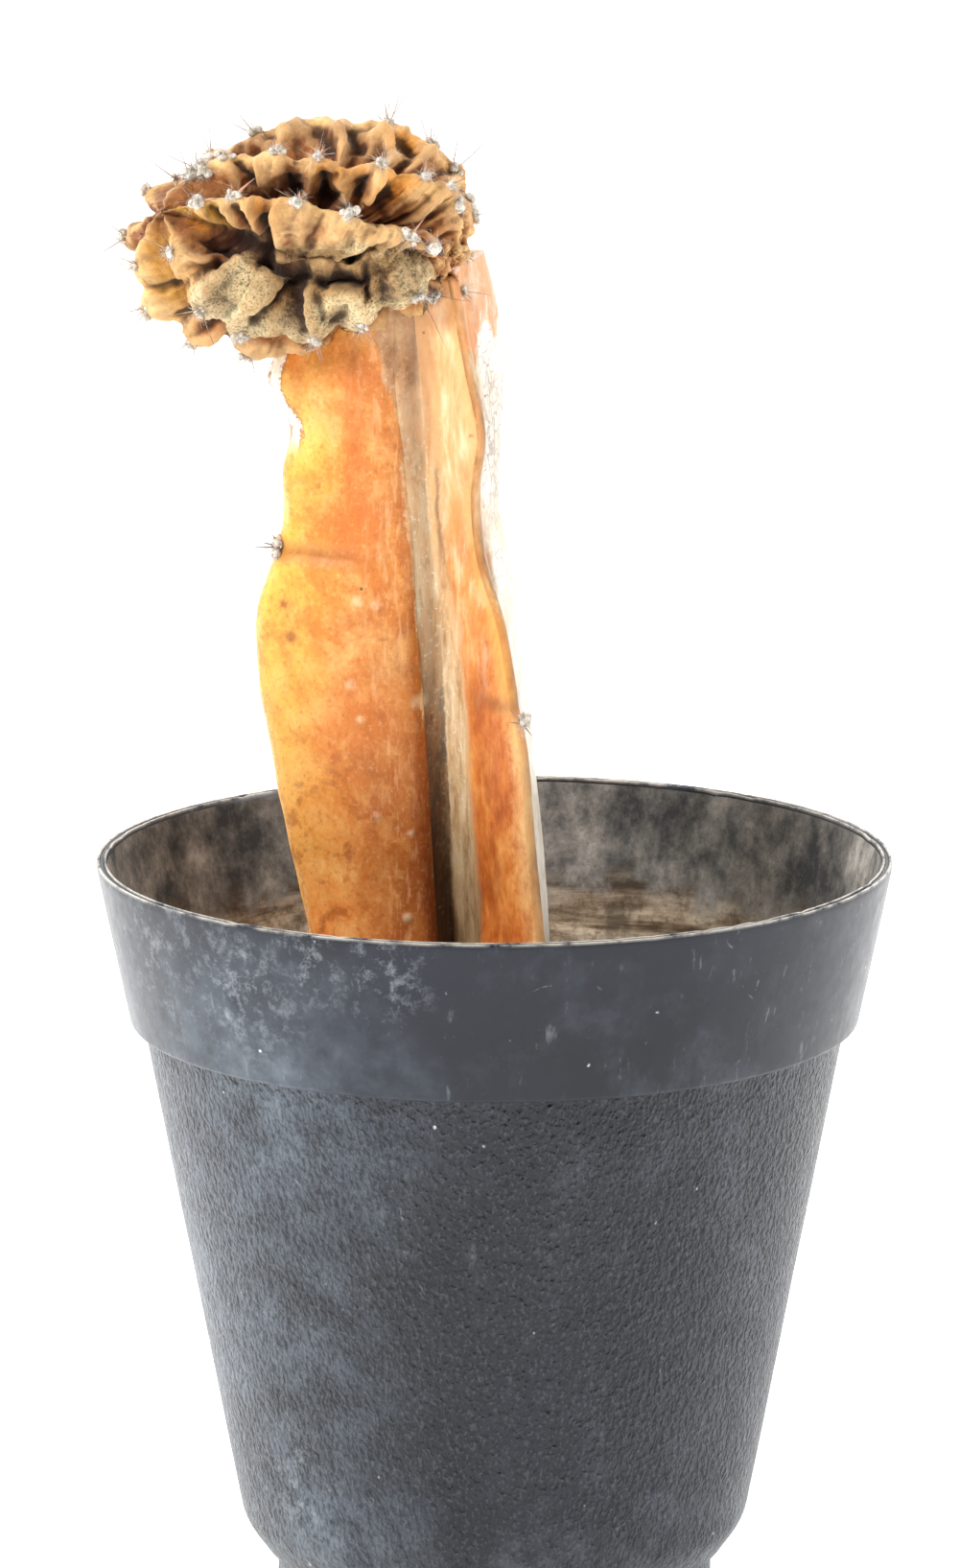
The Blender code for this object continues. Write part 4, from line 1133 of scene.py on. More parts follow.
def stroke_height(points):
    """How far the folds lift the skin at each point."""
    lift = np.zeros(points.shape[:-1])
    flat = points.reshape(-1, 3)
    for height, half, route in STROKES:
        path = along(route)
        line = rib_skin(path[:, 1], path[:, 0], 0.4)
        near = np.linalg.norm(flat - line.mean(0), axis=-1) < np.ptp(line, axis=0).max() + 4 * half
        spots = flat[near]
        gap = np.full(len(spots), 1e9)
        where = np.zeros(len(spots))
        for i, (a, b) in enumerate(zip(line, line[1:])):
            t = np.clip(((spots - a) @ (b - a)) / max((b - a) @ (b - a), 1e-9), 0, 1)
            d = np.linalg.norm(spots - a - t[:, None] * (b - a), axis=-1)
            better = d < gap
            gap[better] = d[better]
            where[better] = (i + t[better]) / (len(line) - 1)
        taper = np.clip(np.minimum(where, 1 - where) * 5 + 0.25, 0, 1)
        off = (gap / half) ** 2
        shape = np.exp(-off) if height > 0 else np.exp(-np.sqrt(off + 0.06) * 1.25 + 0.3)
        amount = np.zeros(len(flat))
        amount[near] = height * taper * shape
        lift += amount.reshape(lift.shape)
    return lift


# Grid and rounds of the buckling, grid of the finished skin, and how strongly the frame holds the skin
SIM_ROWS, SIM_COLUMNS, SIM_ROUNDS = 168, 336, 300
SKIN_ROWS, SKIN_COLUMNS = 220, 448
FOUNDATION_OUT = 0.030
FOUNDATION_IN = 0.008
FOUNDATION_SIDE = 0.004
# How much of the folds and nicks is left at some lanes
CALM_LANES = (0.0, 0.5, 1.0, 2.0, 3.0, 3.5, 7.5, 8.0)
CALM_FOLDS = (0.15, 0.20, 0.35, 0.25, 0.30, 0.50, 0.45, 0.15)
CALM_NICKS = (0.2, 0.3, 0.5, 0.5, 0.7, 1.0, 1.0, 0.2)

# Thin places that let light through: lanes from and to, then shares from and to
GLOWING = [(0.86, 1.16, 0.43, 0.53), (-0.10, 0.16, 0.32, 0.37), (7.50, 7.70, 0.62, 0.67),
           (7.10, 7.30, 0.70, 0.73), (2.40, 2.60, 0.90, 0.95), (0.95, 1.20, 0.27, 0.35),
           (1.90, 2.12, 0.62, 0.70), (4.90, 5.20, 0.45, 0.60)]


def scion_lanes(total):
    """Lane of each column: more columns where the ribs are wide."""
    share = np.array([0.3, 0.5, 0.7])
    fine = np.linspace(0, len(RIBS), 1601)
    line = rib_skin(fine[:, None], share[None, :], 0.0)
    length = np.linalg.norm(np.diff(line, axis=0), axis=-1).mean(1)
    travelled = np.concatenate([[0], np.cumsum(length)])
    return np.interp(np.arange(total) / total * travelled[-1], travelled, fine)


def grid_normals(points):
    """Outward normals of a grid of points that wraps round its columns."""
    down = np.gradient(points, axis=0)
    round_ = np.roll(points, -1, 1) - np.roll(points, 1, 1)
    normal = unit(np.cross(down, round_))
    outward = np.sum(normal * (points - SCION_MIDDLE), -1).mean()
    return normal if outward > 0 else -normal


def pull(a, b, rest, stiffness):
    """Moves both ends of many links towards their rest lengths."""
    gap = b - a
    length = np.sqrt(np.einsum("...k,...k->...", gap, gap)) + 1e-9
    move = gap * (0.5 * stiffness * (1 - rest / length))[..., None]
    a += move
    b -= move


def skin_links(home, grow_down, grow_round):
    """Links between points down, round and across the grid, with their grown rest lengths."""
    links = []
    for step, stiffness in ((1, 1.0), (2, 0.10), (4, 0.05)):
        grown = home[step:] - home[:-step]
        rest = np.linalg.norm(grown, axis=-1) * (grow_down[step:] + grow_down[:-step]) / 2
        links.append((pull_down, step, rest, stiffness))
        across = np.roll(home, -step, 1) - home
        rest = np.linalg.norm(across, axis=-1) * (grow_round + np.roll(grow_round, -step, 1)) / 2
        links.append((pull_round, step, rest, stiffness))
    for side in (1, -1):
        down = (home[1:] - home[:-1]) * grow_down[1:, :, None]
        across = (np.roll(home, -side, 1) - home)[1:] * grow_round[1:, :, None]
        links.append((pull_skew, side, np.linalg.norm(down + across, axis=-1), 0.5))
    return links


def pull_down(skin, step, rest, stiffness):
    for first in range(2 * step):
        a, b = skin[first:len(skin) - step:2 * step], skin[first + step::2 * step]
        count = min(len(a), len(b))
        pull(a[:count], b[:count], rest[first::2 * step][:count], stiffness)


def pull_round(skin, step, rest, stiffness):
    for first in range(0, 2 * step):
        here = np.arange(first, skin.shape[1], 2 * step)
        there = (here + step) % skin.shape[1]
        a, b = skin[:, here], skin[:, there]
        pull(a, b, rest[:, here], stiffness)
        skin[:, here], skin[:, there] = a, b


def pull_skew(skin, side, rest, stiffness):
    for first in (0, 1):
        a = skin[first:-1:2]
        b = np.roll(skin[first + 1::2], -side, 1)
        count = min(len(a), len(b))
        pull(a[:count], b[:count], rest[first::2][:count], stiffness)
        skin[first + 1::2] = np.roll(b, side, 1)


def buckle(points, grow_down, grow_round):
    """Relaxes a skin that has grown too large for its frame, so that it buckles into folds."""
    home = points.astype(np.float32)
    normal = grid_normals(points).astype(np.float32)
    skin = home.copy()
    links = skin_links(home, grow_down, grow_round)
    for _ in range(SIM_ROUNDS):
        for pull_links, step, rest, stiffness in links:
            pull_links(skin, step, rest, stiffness)
        away = skin - home
        rise = np.einsum("...k,...k->...", away, normal)
        hold = np.where(rise > 0, FOUNDATION_OUT, FOUNDATION_IN).astype(np.float32)
        side = away - normal * rise[..., None]
        skin -= normal * (rise * hold)[..., None] + side * FOUNDATION_SIDE
    return skin.astype(float)


def running_mean(padded, reach):
    """Each row averaged with this many rows on both sides of it, without the padding."""
    total = np.cumsum(np.concatenate([padded[:1] * 0, padded]), 0)
    return (total[2 * reach + 1:] - total[:-2 * reach - 1]) / (2 * reach + 1)


def blurred(points, reach_down, reach_round, rounds=3):
    """A grid of points or values, averaged over this many cells each way."""
    out = points.astype(float)
    for _ in range(rounds):
        padded = np.concatenate([out[:1]] * reach_down + [out] + [out[-1:]] * reach_down)
        turned = np.swapaxes(running_mean(padded, reach_down), 0, 1)
        padded = np.concatenate([turned[-reach_round:], turned, turned[:reach_round]])
        out = np.swapaxes(running_mean(padded, reach_round), 0, 1)
    return out


def window(values, low, high, soft):
    """1 between two limits, fading to 0 over a soft stretch outside them."""
    return np.clip((values - low) / soft + 1, 0, 1) * np.clip((high - values) / soft + 1, 0, 1)


def refined(grid, rows, columns):
    """A grid that wraps round its columns, on more rows and columns, curved smoothly between its points."""
    old_rows, old_columns, size = grid.shape
    table = np.concatenate([np.arange(old_rows)[:, None], grid.reshape(old_rows, -1)], 1)
    grid = smooth(table, np.linspace(0, old_rows - 1, rows)).reshape(rows, old_columns, size)
    grid = np.concatenate([grid[:, -3:], grid, grid[:, :4]], 1).transpose(1, 0, 2)
    table = np.concatenate([np.arange(-3, old_columns + 4)[:, None], grid.reshape(old_columns + 7, -1)], 1)
    at = np.arange(columns) * old_columns / columns
    return smooth(table, at).reshape(columns, rows, size).transpose(1, 0, 2)


Areole = namedtuple("Areole", "rib share place out along")


def off_crest(lane):
    """0 on each crest, 1 in each valley."""
    return 2 * np.abs(lane - np.floor(lane + 0.5))


def folded_scion():
    """The head's folded skin on the coarse grid, with the lane and share of its columns and rows."""
    lanes = scion_lanes(SIM_COLUMNS)
    share = 0.5 - 0.5 * np.cos(np.pi * np.linspace(0.02, 0.98, SIM_ROWS))
    lane, at = np.meshgrid(lanes, share)
    away = off_crest(lane)
    folds, nicks = (np.interp(lane, CALM_LANES, values) for values in (CALM_FOLDS, CALM_NICKS))
    plain = rib_skin(lane, at, folds, nicks)
    crumpled = 1 - smooth_step(at, 0.14, 0.34) * (1 - 0.5 * window(lane, 3.6, 7.4, 0.3))
    crumpled *= 1 - window(lane, 2.52, 3.05, 0.12)
    ruffle = noise(np.stack([60 * at, 3.2 * lane, 0 * lane], -1), 1.9, 46, 2)
    lift = 1.5 * stroke_height(plain) + 0.30 * noise(plain, 3.6, 41, 2)
    lift += crumpled * (0.5 * noise(plain, 2.4, 44, 2) + 0.75 - 2.2 * np.abs(ruffle))
    start = plain + grid_normals(plain) * lift[..., None]
    flank = 4 * away * (1 - away)
    grow_down = 1.02 + 0.16 * flank ** 0.6 + 0.05 * noise(plain, 6.0, 45)
    grow_round = 1.02 + 0.05 * flank
    skin = buckle(start, grow_down, grow_round)
    middle_patch = window(lane, 2.62, 2.98, 0.06) * window(at, 0.24, 0.60, 0.05)
    calm = np.clip(np.maximum(0.9 * smooth_step(at, 0.72, 0.92), 0.25 * middle_patch), 0, 1)[..., None]
    skin = skin + (blurred(skin, 1, 1) - skin) * 0.35
    return skin + (blurred(skin, 3, 3) - skin) * calm, lanes, share


def make_scion(look):
    """Makes the head and returns its areoles."""
    skin, lanes, share = folded_scion()
    skin = refined(skin, SKIN_ROWS, SKIN_COLUMNS)
    lanes = np.interp(np.arange(SKIN_COLUMNS) * SIM_COLUMNS / SKIN_COLUMNS, np.arange(SIM_COLUMNS + 1),
                      np.append(lanes, len(RIBS)))
    share = np.interp(np.linspace(0, SIM_ROWS - 1, SKIN_ROWS), np.arange(SIM_ROWS), share)
    lane, at = np.meshgrid(lanes, share)
    drawn = noise(np.stack([62 * at, 4.5 * lane, 0 * lane], -1), 1.0, 47, 2)
    thread = noise(np.stack([135 * at, 6.0 * lane, 0 * lane], -1), 1.0, 49, 2)
    creased = 1 - np.abs(noise(skin, 1.9, 48, 2)) * 3
    relief = 0.10 * noise(skin, 1.3, 42, 2) + 0.20 * drawn + 0.09 * thread - 0.17 * np.clip(creased, 0, 1)
    skin += grid_normals(skin) * relief[..., None]
    skin += stalk_push(skin.reshape(-1, 3), 0.3).reshape(skin.shape)
    scion = mesh_from("scion_skin", skin.reshape(-1, 3), grid_faces(*lane.shape))
    out = grid_normals(blurred(skin, 2, 3))
    carry(scion, "drawn", drawn)
    # How far the skin stands out from its smoothed self at three sizes, for painted shade in hollows and
    # painted highlights on rises
    for name, down, round_ in (("fine", 2, 2), ("deep", 9, 9), ("hull", 18, 24)):
        carry(scion, name, np.sum((skin - blurred(skin, down, round_)) * out, -1))
    mark_scion(scion, skin, lane, at)
    dress(scion, look, "scion")
    return find_areoles(skin, out, lanes, share) + crown_areoles(skin, out, lanes, share)


def mark_scion(scion, skin, lane, at):
    """Where the head is olive or gold, where light comes through, and where its crests are."""
    wander = 0.25 * noise(skin, 5.0, 51, 3)
    near_lane, near_at = lane + wander, at + 0.12 * wander
    olive = window(near_lane, 2.42, 3.10, 0.10) * window(near_at, 0.12, 0.72, 0.05)
    olive = np.maximum(olive, window(near_lane, 2.22, 2.5, 0.1) * window(near_at, 0.14, 0.50, 0.06))
    gold = window(near_lane, 1.85, 2.45, 0.12) * window(near_at, 0.82, 0.96, 0.04)
    gold = np.maximum(gold, 0.7 * window(near_lane, 3.2, 4.3, 0.2) * window(near_at, 0.70, 0.92, 0.06))
    glow = np.zeros(lane.shape)
    for low, high, first, last in GLOWING:
        there = window((lane - low + 4) % 8 - 4, 0.0, high - low, 0.14) * window(at, first, last, 0.035)
        glow = np.maximum(glow, there)
    crest = np.clip(1 - off_crest(lane) / 0.35, 0, 1)
    for name, value in (("glow", glow), ("crest", crest), ("olive", olive), ("gold", gold)):
        carry(scion, name, value)


def crown_areoles(skin, out, lanes, share):
    """The woolly places crowded at the far end of the head."""
    found = []
    for lane, at in CROWN_WOOL:
        row, column = int(np.argmin(np.abs(share - at))), int(np.argmin(np.abs(lanes - lane)))
        along = unit(skin[row - 3, column] - skin[row + 3, column])
        away = unit(out[row, column] - along * (out[row, column] @ along))
        found.append(Areole(CROWN_RIB, at, skin[row, column], away, along))
    return found


def find_areoles(skin, out, lanes, share):
    """Where each areole sits on the folded skin, with its way out and the way along its crest."""
    found = []
    for index, rib in enumerate(RIBS):
        column = int(np.argmin(np.abs(lanes - index)))
        for at in rib[3]:
            if (index, at) == BARE_AREOLE:
                continue
            row = int(np.argmin(np.abs(share - at)))
            along = unit(skin[min(row + 3, len(skin) - 1), column] - skin[max(row - 3, 0), column])
            away = unit(unit(skin[row, column] - SCION_MIDDLE) + out[row, column])
            found.append(Areole(index, at, skin[row, column], unit(away - along * (away @ along)), along))
    return found


def tubes(paths, radii, sides):
    """Points and triangles of many thin tapering tubes, each closed to a point at its tip."""
    paths, radii = np.asarray(paths), np.asarray(radii)
    count, steps = paths.shape[:2]
    ahead = unit(paths[:, -1] - paths[:, 0])
    helper = np.where(np.abs(ahead[:, 2:]) < 0.8, [[0.0, 0.0, 1.0]], [[1.0, 0.0, 0.0]])
    u = unit(np.cross(ahead, helper))
    v = np.cross(ahead, u)
    turn = np.arange(sides) * math.tau / sides
    ring = u[:, None, None] * np.cos(turn)[:, None] + v[:, None, None] * np.sin(turn)[:, None]
    points = paths[:, :, None] + ring * radii[:, :, None, None]
    tips = paths[:, -1:] + 0.3 * radii[:, -1:, None] * ahead[:, None]
    points = np.concatenate([points.reshape(count, -1, 3), paths[:, :1], tips], 1)
    quads = grid_faces(steps, sides)
    tris = np.concatenate([quads[:, [0, 1, 2]], quads[:, [0, 2, 3]]])
    first = np.arange(sides)
    last = first + (steps - 1) * sides
    foot = np.stack([np.full(sides, steps * sides), (first + 1) % sides, first], -1)
    tip = np.stack([np.full(sides, steps * sides + 1), last, (steps - 1) * sides + (first + 1) % sides], -1)
    tris = np.concatenate([tris, foot, tip])
    shift = (np.arange(count) * points.shape[1])[:, None, None]
    return points.reshape(-1, 3), (tris[None] + shift).reshape(-1, 3)


def bent(start, way, sag, length, steps):
    """A gently bent path from a start point."""
    t = np.linspace(0, 1, steps)[:, None]
    return start + way * length * t + sag * length * t * t


SPINE_STEPS, SPINE_SIDES = 6, 6
# Spines that stand out: rib, place along the crest, length, thickness, direction and tone
STOUT_SPINES = [
    (2, 0.88, 2.8, 0.20, (0.9, -0.3, 0.35), 1.5), (2, 0.76, 3.4, 0.23, (0.62, -0.3, 0.72), 1.5),
    (2, 0.57, 1.9, 0.20, (0.0, -0.4, 1.0), 1.3), (2, 0.42, 2.0, 0.22, (0.0, -0.3, 1.0), 1.0),
    (2, 0.42, 1.3, 0.18, (0.5, -0.6, 0.6), 1.0), (2, 0.22, 2.4, 0.18, (0.6, -0.3, 0.8), 1.4),
    (1, 0.66, 1.5, 0.16, (-0.3, -0.4, 0.9), 1.2), (1, 0.55, 1.6, 0.16, (0.3, -0.5, 0.9), 1.2),
    (1, 0.38, 2.2, 0.17, (0.0, -0.2, 1.0), 1.4), (1, 0.38, 1.6, 0.13, (0.5, -0.3, 0.9), 1.0),
    (1, 0.25, 2.3, 0.17, (0.15, -0.2, 1.0), 1.4), (1, 0.17, 2.2, 0.10, (0.8, -0.2, 0.6), 0.2),
    (3, 0.16, 5.8, 0.07, (0.55, -0.35, -0.8), 0.0), (3, 0.16, 1.6, 0.17, (0.8, -0.5, 0.3), 0.9),
    (3, 0.16, 1.7, 0.16, (0.3, -0.8, 0.6), 0.9), (3, 0.16, 1.5, 0.15, (0.7, -0.6, -0.4), 0.9),
    (3, 0.30, 2.8, 0.16, (0.65, -0.4, -0.6), 1.5), (3, 0.30, 2.4, 0.14, (0.45, -0.4, -0.9), 1.5),
    (3, 0.40, 3.0, 0.12, (0.1, -0.4, -1.0), 1.4), (3, 0.40, 2.6, 0.12, (0.45, -0.4, -0.9), 1.4),
    (3, 0.56, 2.2, 0.14, (-0.4, -0.5, -0.7), 1.4), (3, 0.86, 3.0, 0.08, (-0.4, -0.3, 0.9), 0.0),
    (0, 0.40, 4.4, 0.06, (-0.1, -0.1, 1.0), 0.4), (0, 0.40, 5.2, 0.06, (0.55, -0.1, 1.0), 0.4),
    (0, 0.29, 4.6, 0.05, (0.35, -0.1, 1.0), 0.4), (0, 0.29, 4.0, 0.05, (0.6, -0.1, 0.8), 0.4),
]


def spine_path(start, way, length):
    """A spine from a start point, shortened where it would leave the solid model's box."""
    path = bent(start, unit(way), rng.normal(0, 0.10, 3), length, SPINE_STEPS)
    past = max((CAD_LOW[0] - 0.9) - path[:, 0].min(), path[:, 2].max() - (CAD_HIGH[2] + 2.5))
    if past > 0:
        path = start + (path - start) * max(0.3, 1 - past / length)
    return path


# The stem's two areoles: place, way out and size
STEM_AREOLES = [((-24.2, -0.8, 119.7), (-1.0, -0.12, 0.0), 1.15),
                ((3.1, -17.1, 102.8), (0.42, -0.9, 0.0), 1.0)]
# Their spines: which areole, length, thickness, direction and tone
STEM_SPINES = [
    (0, 2.3, 0.19, (-0.95, -0.2, 0.25), 0.2), (0, 2.6, 0.17, (-1.0, -0.3, -0.15), 0.3),
    (0, 1.7, 0.17, (-0.4, -0.4, 0.9), 0.4), (0, 1.8, 0.16, (-0.5, -0.7, -0.6), 0.2),
    (0, 1.5, 0.14, (0.2, -0.7, 0.7), 0.4), (1, 2.4, 0.16, (-0.55, -0.5, 0.7), 1.35),
    (1, 1.8, 0.15, (-0.7, -0.6, 0.15), 1.4), (1, 1.9, 0.13, (0.5, -0.4, -0.8), 0.4),
    (1, 1.6, 0.14, (0.1, -0.6, 0.9), 1.2), (1, 1.5, 0.13, (0.6, -0.7, 0.1), 0.3),
]


def make_stem_areoles(wool, spines):
    """The wool and spines of the stem's two areoles."""
    upward = np.array([0.0, 0.0, 1.0])
    areoles = [Areole(None, None, np.array(place), unit(out), upward) for place, out, _ in STEM_AREOLES]
    dress(tufts(areoles, "stem_wool", [size for _, _, size in STEM_AREOLES]), wool)
    taper = np.linspace(1, 0.12, SPINE_STEPS) ** 0.8
    paths = [spine_path(areoles[index].place, way, length) for index, length, _, way, _ in STEM_SPINES]
    radii, tones = [row[2] * taper for row in STEM_SPINES], [row[4] for row in STEM_SPINES]
    spikes(paths, radii, tones, spines, "stem_spines")


def make_spines(areoles, look):
    """A few random spines at each areole, fewer on the front ribs, where the stout ones stand."""
    paths, radii, tones = [], [], []
    taper = np.linspace(1, 0.10, SPINE_STEPS) ** 0.8
    for areole in areoles:
        side = np.cross(areole.along, areole.out)
        lonely = areole.rib not in (1, 2) and (areole.rib != 3 or areole.share > 0.6)
        for k in range(rng.integers(3, 6) if lonely else rng.integers(0, 2)):
            turn = math.tau * (k * 2 + rng.uniform(-0.4, 0.4)) / 5
            spread = rng.uniform(0.4, 1.3)
            way = areole.out + spread * (areole.along * math.cos(turn) + side * math.sin(turn))
            stubby = rng.random() < 0.5 or not lonely
            length = rng.uniform(0.9, 2.0) if stubby else rng.uniform(3.2, 5.8)
            thick = rng.uniform(0.08, 0.13) if stubby else rng.uniform(0.055, 0.085)
            paths.append(spine_path(areole.place - areole.out * 0.2, way, length))
            radii.append(thick * taper)
            tones.append(rng.uniform(0.3, 1.0) if stubby else rng.uniform(0.0, 0.5))
    for index, share, length, thick, way, tone in STOUT_SPINES:
        areole = min((a for a in areoles if a.rib == index), key=lambda a: abs(a.share - share))
        paths.append(spine_path(areole.place, way, length))
        radii.append(thick * taper)
        tones.append(tone)
    spikes(paths, radii, tones, look, "spines")


def spikes(paths, radii, tones, look, name):
    """One piece of many spines, with a tone for each and how near its tip each point is."""
    points, faces = tubes(paths, radii, SPINE_SIDES)
    spines = mesh_from(name, points, faces)
    along_spine = np.repeat(np.linspace(0, 1, SPINE_STEPS), SPINE_SIDES)
    carry(spines, "tone", np.repeat(tones, len(points) // len(paths)))
    carry(spines, "tip", np.tile(np.append(along_spine, [0, 1]), len(paths)))
    dress(spines, look)


def spine_look():
    look = Look("dry spines")
    ramp, span = look.ramp, look.span
    tone, tip = look.value("tone"), look.value("tip")
    base = ramp(tone, (0.0, "#6d5d51"), (0.45, "#a08d7c"), (0.8, "#c9b7a4"))
    base = look.layers(base, (
        ("#c79478", span(tone, 1.05, 1.45)),
        ("#4b382e", span(tip, 0.45, 1.0), 0.7),
        ("#e8ddd0", span(look.noise(1500, 4.0), 0.5, 0.7), 0.4),
    ))
    return look.finish(Base_Color=base, Roughness=0.5, Subsurface_Weight=0.1, Subsurface_Scale=0.0005)


def ball(subdivisions):
    """Points and triangles of a round ball of radius 1."""
    bm = bmesh.new()
    bmesh.ops.create_icosphere(bm, subdivisions=subdivisions, radius=1.0)
    points = np.array([vert.co for vert in bm.verts])
    faces = np.array([[vert.index for vert in face.verts] for face in bm.faces])
    bm.free()
    return points, faces


def make_wool(areoles, look):
    dress(tufts(areoles, "areole_wool", rng.uniform(0.62, 0.98, len(areoles))), look)


def tufts(areoles, name, sizes):
    """Felted tufts with stray hairs, six lumps to an areole."""
    knob, knob_faces = ball(2)
    lumps, paths, radii = [], [], []
    for areole, size in zip(areoles, sizes):
        side = np.cross(areole.along, areole.out)
        axes = np.stack([areole.along, side, areole.out])
        for k in range(6):
            lump_size = size * rng.uniform(0.36, 0.66)
            spot = rng.normal(0, [0.46, 0.34, 0.12]) * size + [0, 0, 0.10 + 0.16 * (k % 3)]
            shaped = knob * (1 + 0.30 * noise(knob + rng.uniform(0, 90, 3), 0.6, 61, 2))[:, None]
            shaped = shaped * rng.uniform(0.7, 1.25, 3) * lump_size + spot
            lumps.append(areole.place + shaped @ axes)
        for _ in range(84):
            a, b = rng.normal(0, 0.44, 2) * size
            start = np.array([a, b, rng.uniform(0.05, 0.55)]) @ axes
            way = np.array([a + rng.normal(0, 0.6), b + rng.normal(0, 0.6), rng.uniform(0.2, 1.0)]) @ axes
            sag = rng.normal(0, 1.1, 3)
            paths.append(bent(areole.place + start, unit(way), sag, rng.uniform(0.25, 0.7), 4))
            radii.append(rng.uniform(0.014, 0.028) * np.linspace(1, 0.5, 4))
    return merged(name, lumps, knob_faces, *tubes(paths, radii, 3))


def wool_look():
    look = Look("areole wool")
    over, ramp, span = look.over, look.ramp, look.span
    felt = look.noise(2200, 5.0, 0.7)
    smudge = look.noise(520, 4.0, 0.6)
    base = ramp(felt, (0.34, "#9a8b7b"), (0.46, "#cfc3b4"), (0.58, "#f0e9df"))
    base = over(base, "#8d7660", span(smudge, 0.54, 0.68), 0.6)
    return look.finish(Base_Color=base, Roughness=0.95, Subsurface_Weight=0.2, Subsurface_Scale=0.0006,
                       Specular_IOR_Level=0.2, Normal=look.bump(felt, 0.6, 0.0003))


def scion_look():
    look = Look("shrivelled skin")
    over, ramp, span = look.over, look.ramp, look.span
    cloud = look.noise(150, 6.0, 0.66)
    grit = look.noise(1000, 6.0, 0.72)
    grain = look.noise(3600, 3.0, 0.7)
    deep, hull, fine = look.value("deep"), look.value("hull"), look.value("fine")
    olive, crest = look.value("olive"), look.value("crest")
    tan = ramp(cloud, (0.32, "#5c2c10"), (0.44, "#8e4f1e"), (0.55, "#b37035"), (0.68, "#dfa65c"))
    moss = ramp(cloud, (0.32, "#644726"), (0.46, "#8b673b"), (0.58, "#b08b56"), (0.72, "#dcbe84"))
    clusters = span(look.noise(420, 4.0, 0.7), 0.34, 0.56, 0.5, 1.0)
    speckled = look.plus(look.times(olive, clusters), look.times(clusters, 0.16))
    base = look.layers(tan, (
        (ramp(cloud, (0.3, "#592c14"), (0.7, "#a5673a")),
         span(look.noise(60, 4.0, 0.6), 0.44, 0.62, 0.0, 0.55)),
        ("#c4902f", look.value("gold"), span(cloud, 0.3, 0.6, 0.5, 1.0)),
        (moss, olive),
        # Painted highlight on the raised lobes
        (over("#f8cb8c", "#f6e2b0", olive), span(look.plus(deep, hull), 0.9, 2.6),
         span(cloud, 0.38, 0.62, 0.25, 0.95)),
        # Painted glow on thin crests, as if light shone through them
        ("#db8a22", crest, span(look.noise(95, 3.0), 0.48, 0.64), look.minus(1.0, olive), 0.5),
        # Painted highlight along the crests
        (over("#ffd28a", "#fff0c4", olive), crest, span(cloud, 0.38, 0.60, 0.15, 0.6)),
        # Painted glow where the skin is thin
        ("#f09a1c", look.value("glow"), span(cloud, 0.36, 0.62, 0.15, 0.8)),
        ("#55300f", span(look.value("drawn"), 0.10, 0.50), 0.40),
        ("#4c2c14", span(grit, 0.54, 0.72), 0.45),
        ("#d8a870", span(grit, 0.46, 0.30), 0.40),
        ("#463012", span(grain, 0.51, 0.60), speckled, 0.75),
        ("#dac493", span(grain, 0.44, 0.36), olive, 0.4),
        # Painted shade in the hollows, at three sizes
        ("#4f230e", span(hull, 0.2, -1.6, 0.0, 0.9)),
        ("#351608", span(deep, -0.10, -1.2, 0.0, 0.92)),
        ("#2a1207", span(fine, -0.04, -0.30, 0.0, 0.8)),
        # Painted highlight on the small rises
        ("#dcae74", span(fine, 0.06, 0.30), 0.35),
    ))
    normal = look.bump(grit, 0.60, 0.00055, look.bump(grain, 0.30, 0.00015))
    return look.finish(Base_Color=base, Roughness=0.62, Specular_IOR_Level=0.32, Subsurface_Weight=0.10,
                       Subsurface_Scale=0.0012, Sheen_Weight=0.35, Sheen_Roughness=0.45,
                       Sheen_Tint=(1.0, 0.80, 0.55, 1.0), Normal=normal)


# ---------------------------------------------------------------- stage

FLOOR_HALF = 3000
CAMERA_RISE = 12.4
CAMERA_LENS = 203.3
# Lamps: name, place in metres, power and size
LAMPS = [("key", (-0.75, -0.50, 0.85), 12.0, 0.30), ("back", (0.45, 0.8, 0.65), 6.0, 0.6),
         ("back_left", (-0.7, 0.55, 0.55), 6.0, 0.5), ("right", (0.95, -0.25, 0.35), 4.0, 0.4)]


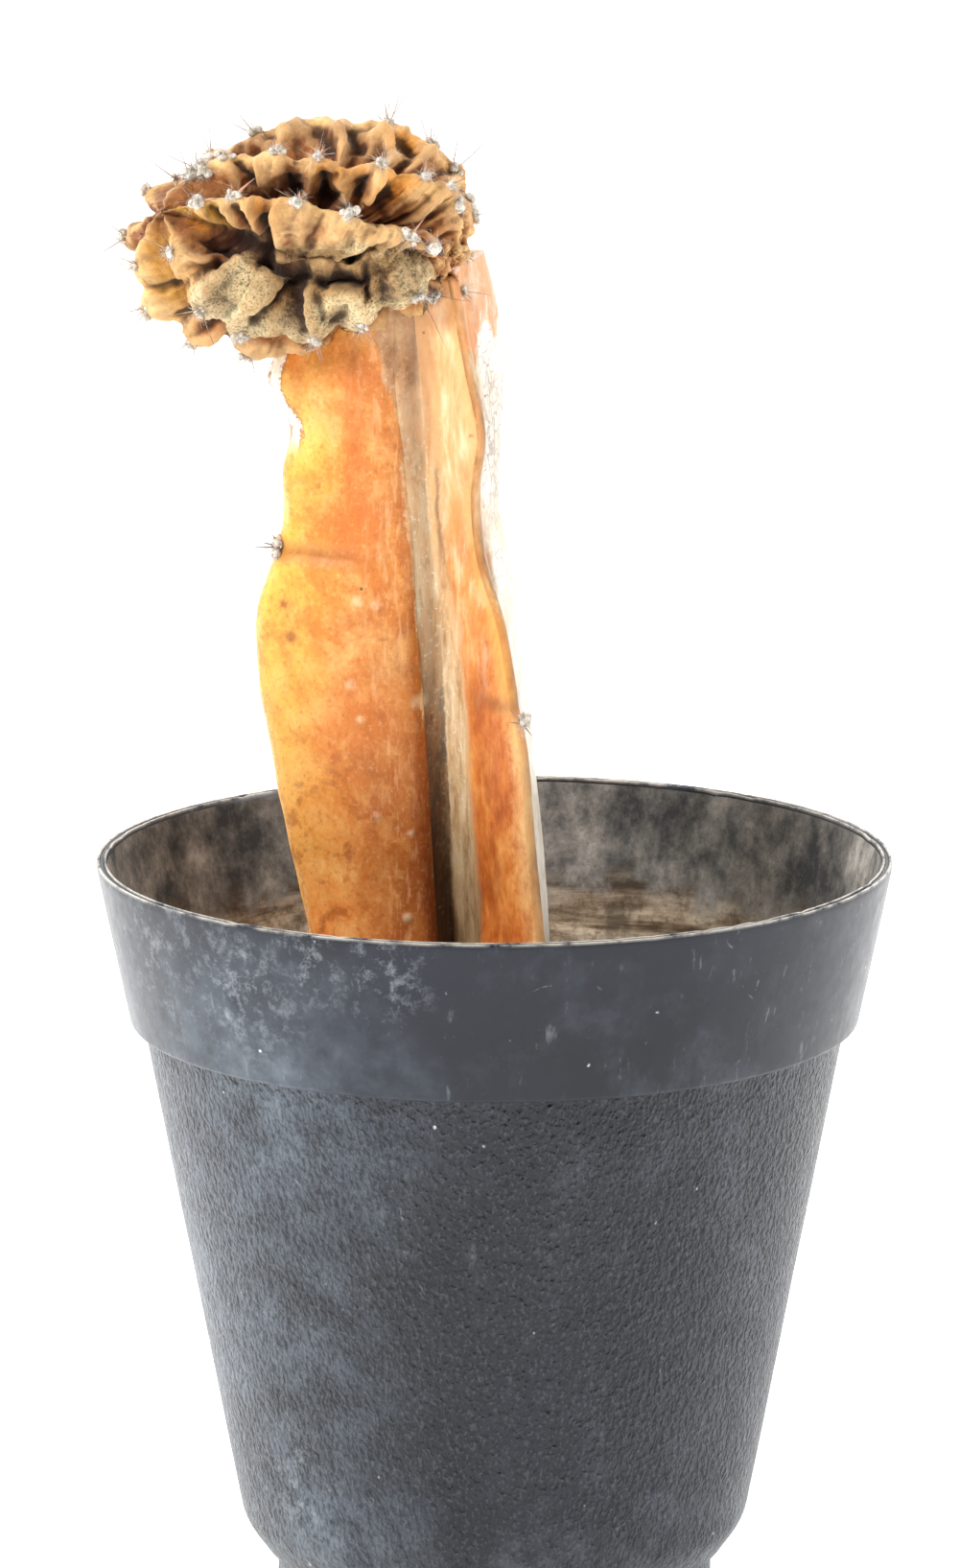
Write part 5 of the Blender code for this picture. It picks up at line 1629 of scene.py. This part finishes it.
def make_stage():
    """A pale floor, a world brighter towards the back, and four soft lamps."""
    look = Look("pale floor")
    look.finish(Base_Color=(0.9, 0.9, 0.9, 1.0), Roughness=0.9, Specular_IOR_Level=0.1,
                Emission_Color=(1.0, 1.0, 1.0, 1.0), Emission_Strength=0.55)
    corners = np.array([[-1, -1, 0], [1, -1, 0], [1, 1, 0], [-1, 1, 0]]) * FLOOR_HALF
    floor = mesh_from("floor", corners, [[0, 1, 2, 3]])
    floor.data.materials.append(look.material)
    make_world()
    for name, place, power, size in LAMPS:
        lamp = bpy.data.lights.new(name, "AREA")
        lamp.energy = power
        lamp.size = size
        light = bpy.data.objects.new(name, lamp)
        bpy.context.scene.collection.objects.link(light)
        light.location = place
        light.rotation_euler = (Vector((0, 0, 0.12)) - light.location).to_track_quat("-Z", "Y").to_euler()
    bpy.context.scene.view_settings.view_transform = "Standard"


def make_world():
    world = bpy.data.worlds.new("studio")
    bpy.context.scene.world = world
    world.use_nodes = True
    tree = world.node_tree
    place = tree.nodes.new("ShaderNodeTexCoord")
    split = tree.nodes.new("ShaderNodeSeparateXYZ")
    ramp = tree.nodes.new("ShaderNodeMapRange")
    background = tree.nodes["Background"]
    for key, value in (("From Min", -0.8), ("From Max", 0.9), ("To Min", 0.12), ("To Max", 1.3)):
        ramp.inputs[key].default_value = value
    tree.links.new(place.outputs["Generated"], split.inputs[0])
    tree.links.new(split.outputs["Y"], ramp.inputs["Value"])
    tree.links.new(ramp.outputs[0], background.inputs["Strength"])
    background.inputs["Color"].default_value = (1.0, 1.0, 1.0, 1.0)


def make_camera():
    """Stands 1 m from the middle of the rim and above it, aimed a little over it."""
    rim = np.array([0.0, 0.0, POT_HIGH[2] * MM])
    rise = math.radians(CAMERA_RISE)
    eye = rim + np.array([0.0, -math.cos(rise), math.sin(rise)])
    aim = rim + np.array([-0.0017, 0.0, 0.0083])
    data = bpy.data.cameras.new("camera")
    data.sensor_fit = "AUTO"
    data.sensor_width = 36.0
    data.lens = CAMERA_LENS
    camera = bpy.data.objects.new("camera", data)
    bpy.context.scene.collection.objects.link(camera)
    camera.location = eye
    camera.rotation_euler = Vector(aim - eye).to_track_quat("-Z", "Y").to_euler()
    bpy.context.scene.camera = camera


make_pot(pot_look(), pot_inside_look())
make_soil(soil_look())
make_crumbs(crumb_look())
make_rootstock(stalk_look())
areoles = make_scion(scion_look())
spine_paint, wool_paint = spine_look(), wool_look()
make_spines(areoles, spine_paint)
make_wool(areoles, wool_paint)
make_stem_areoles(wool_paint, spine_paint)
make_stage()
make_camera()
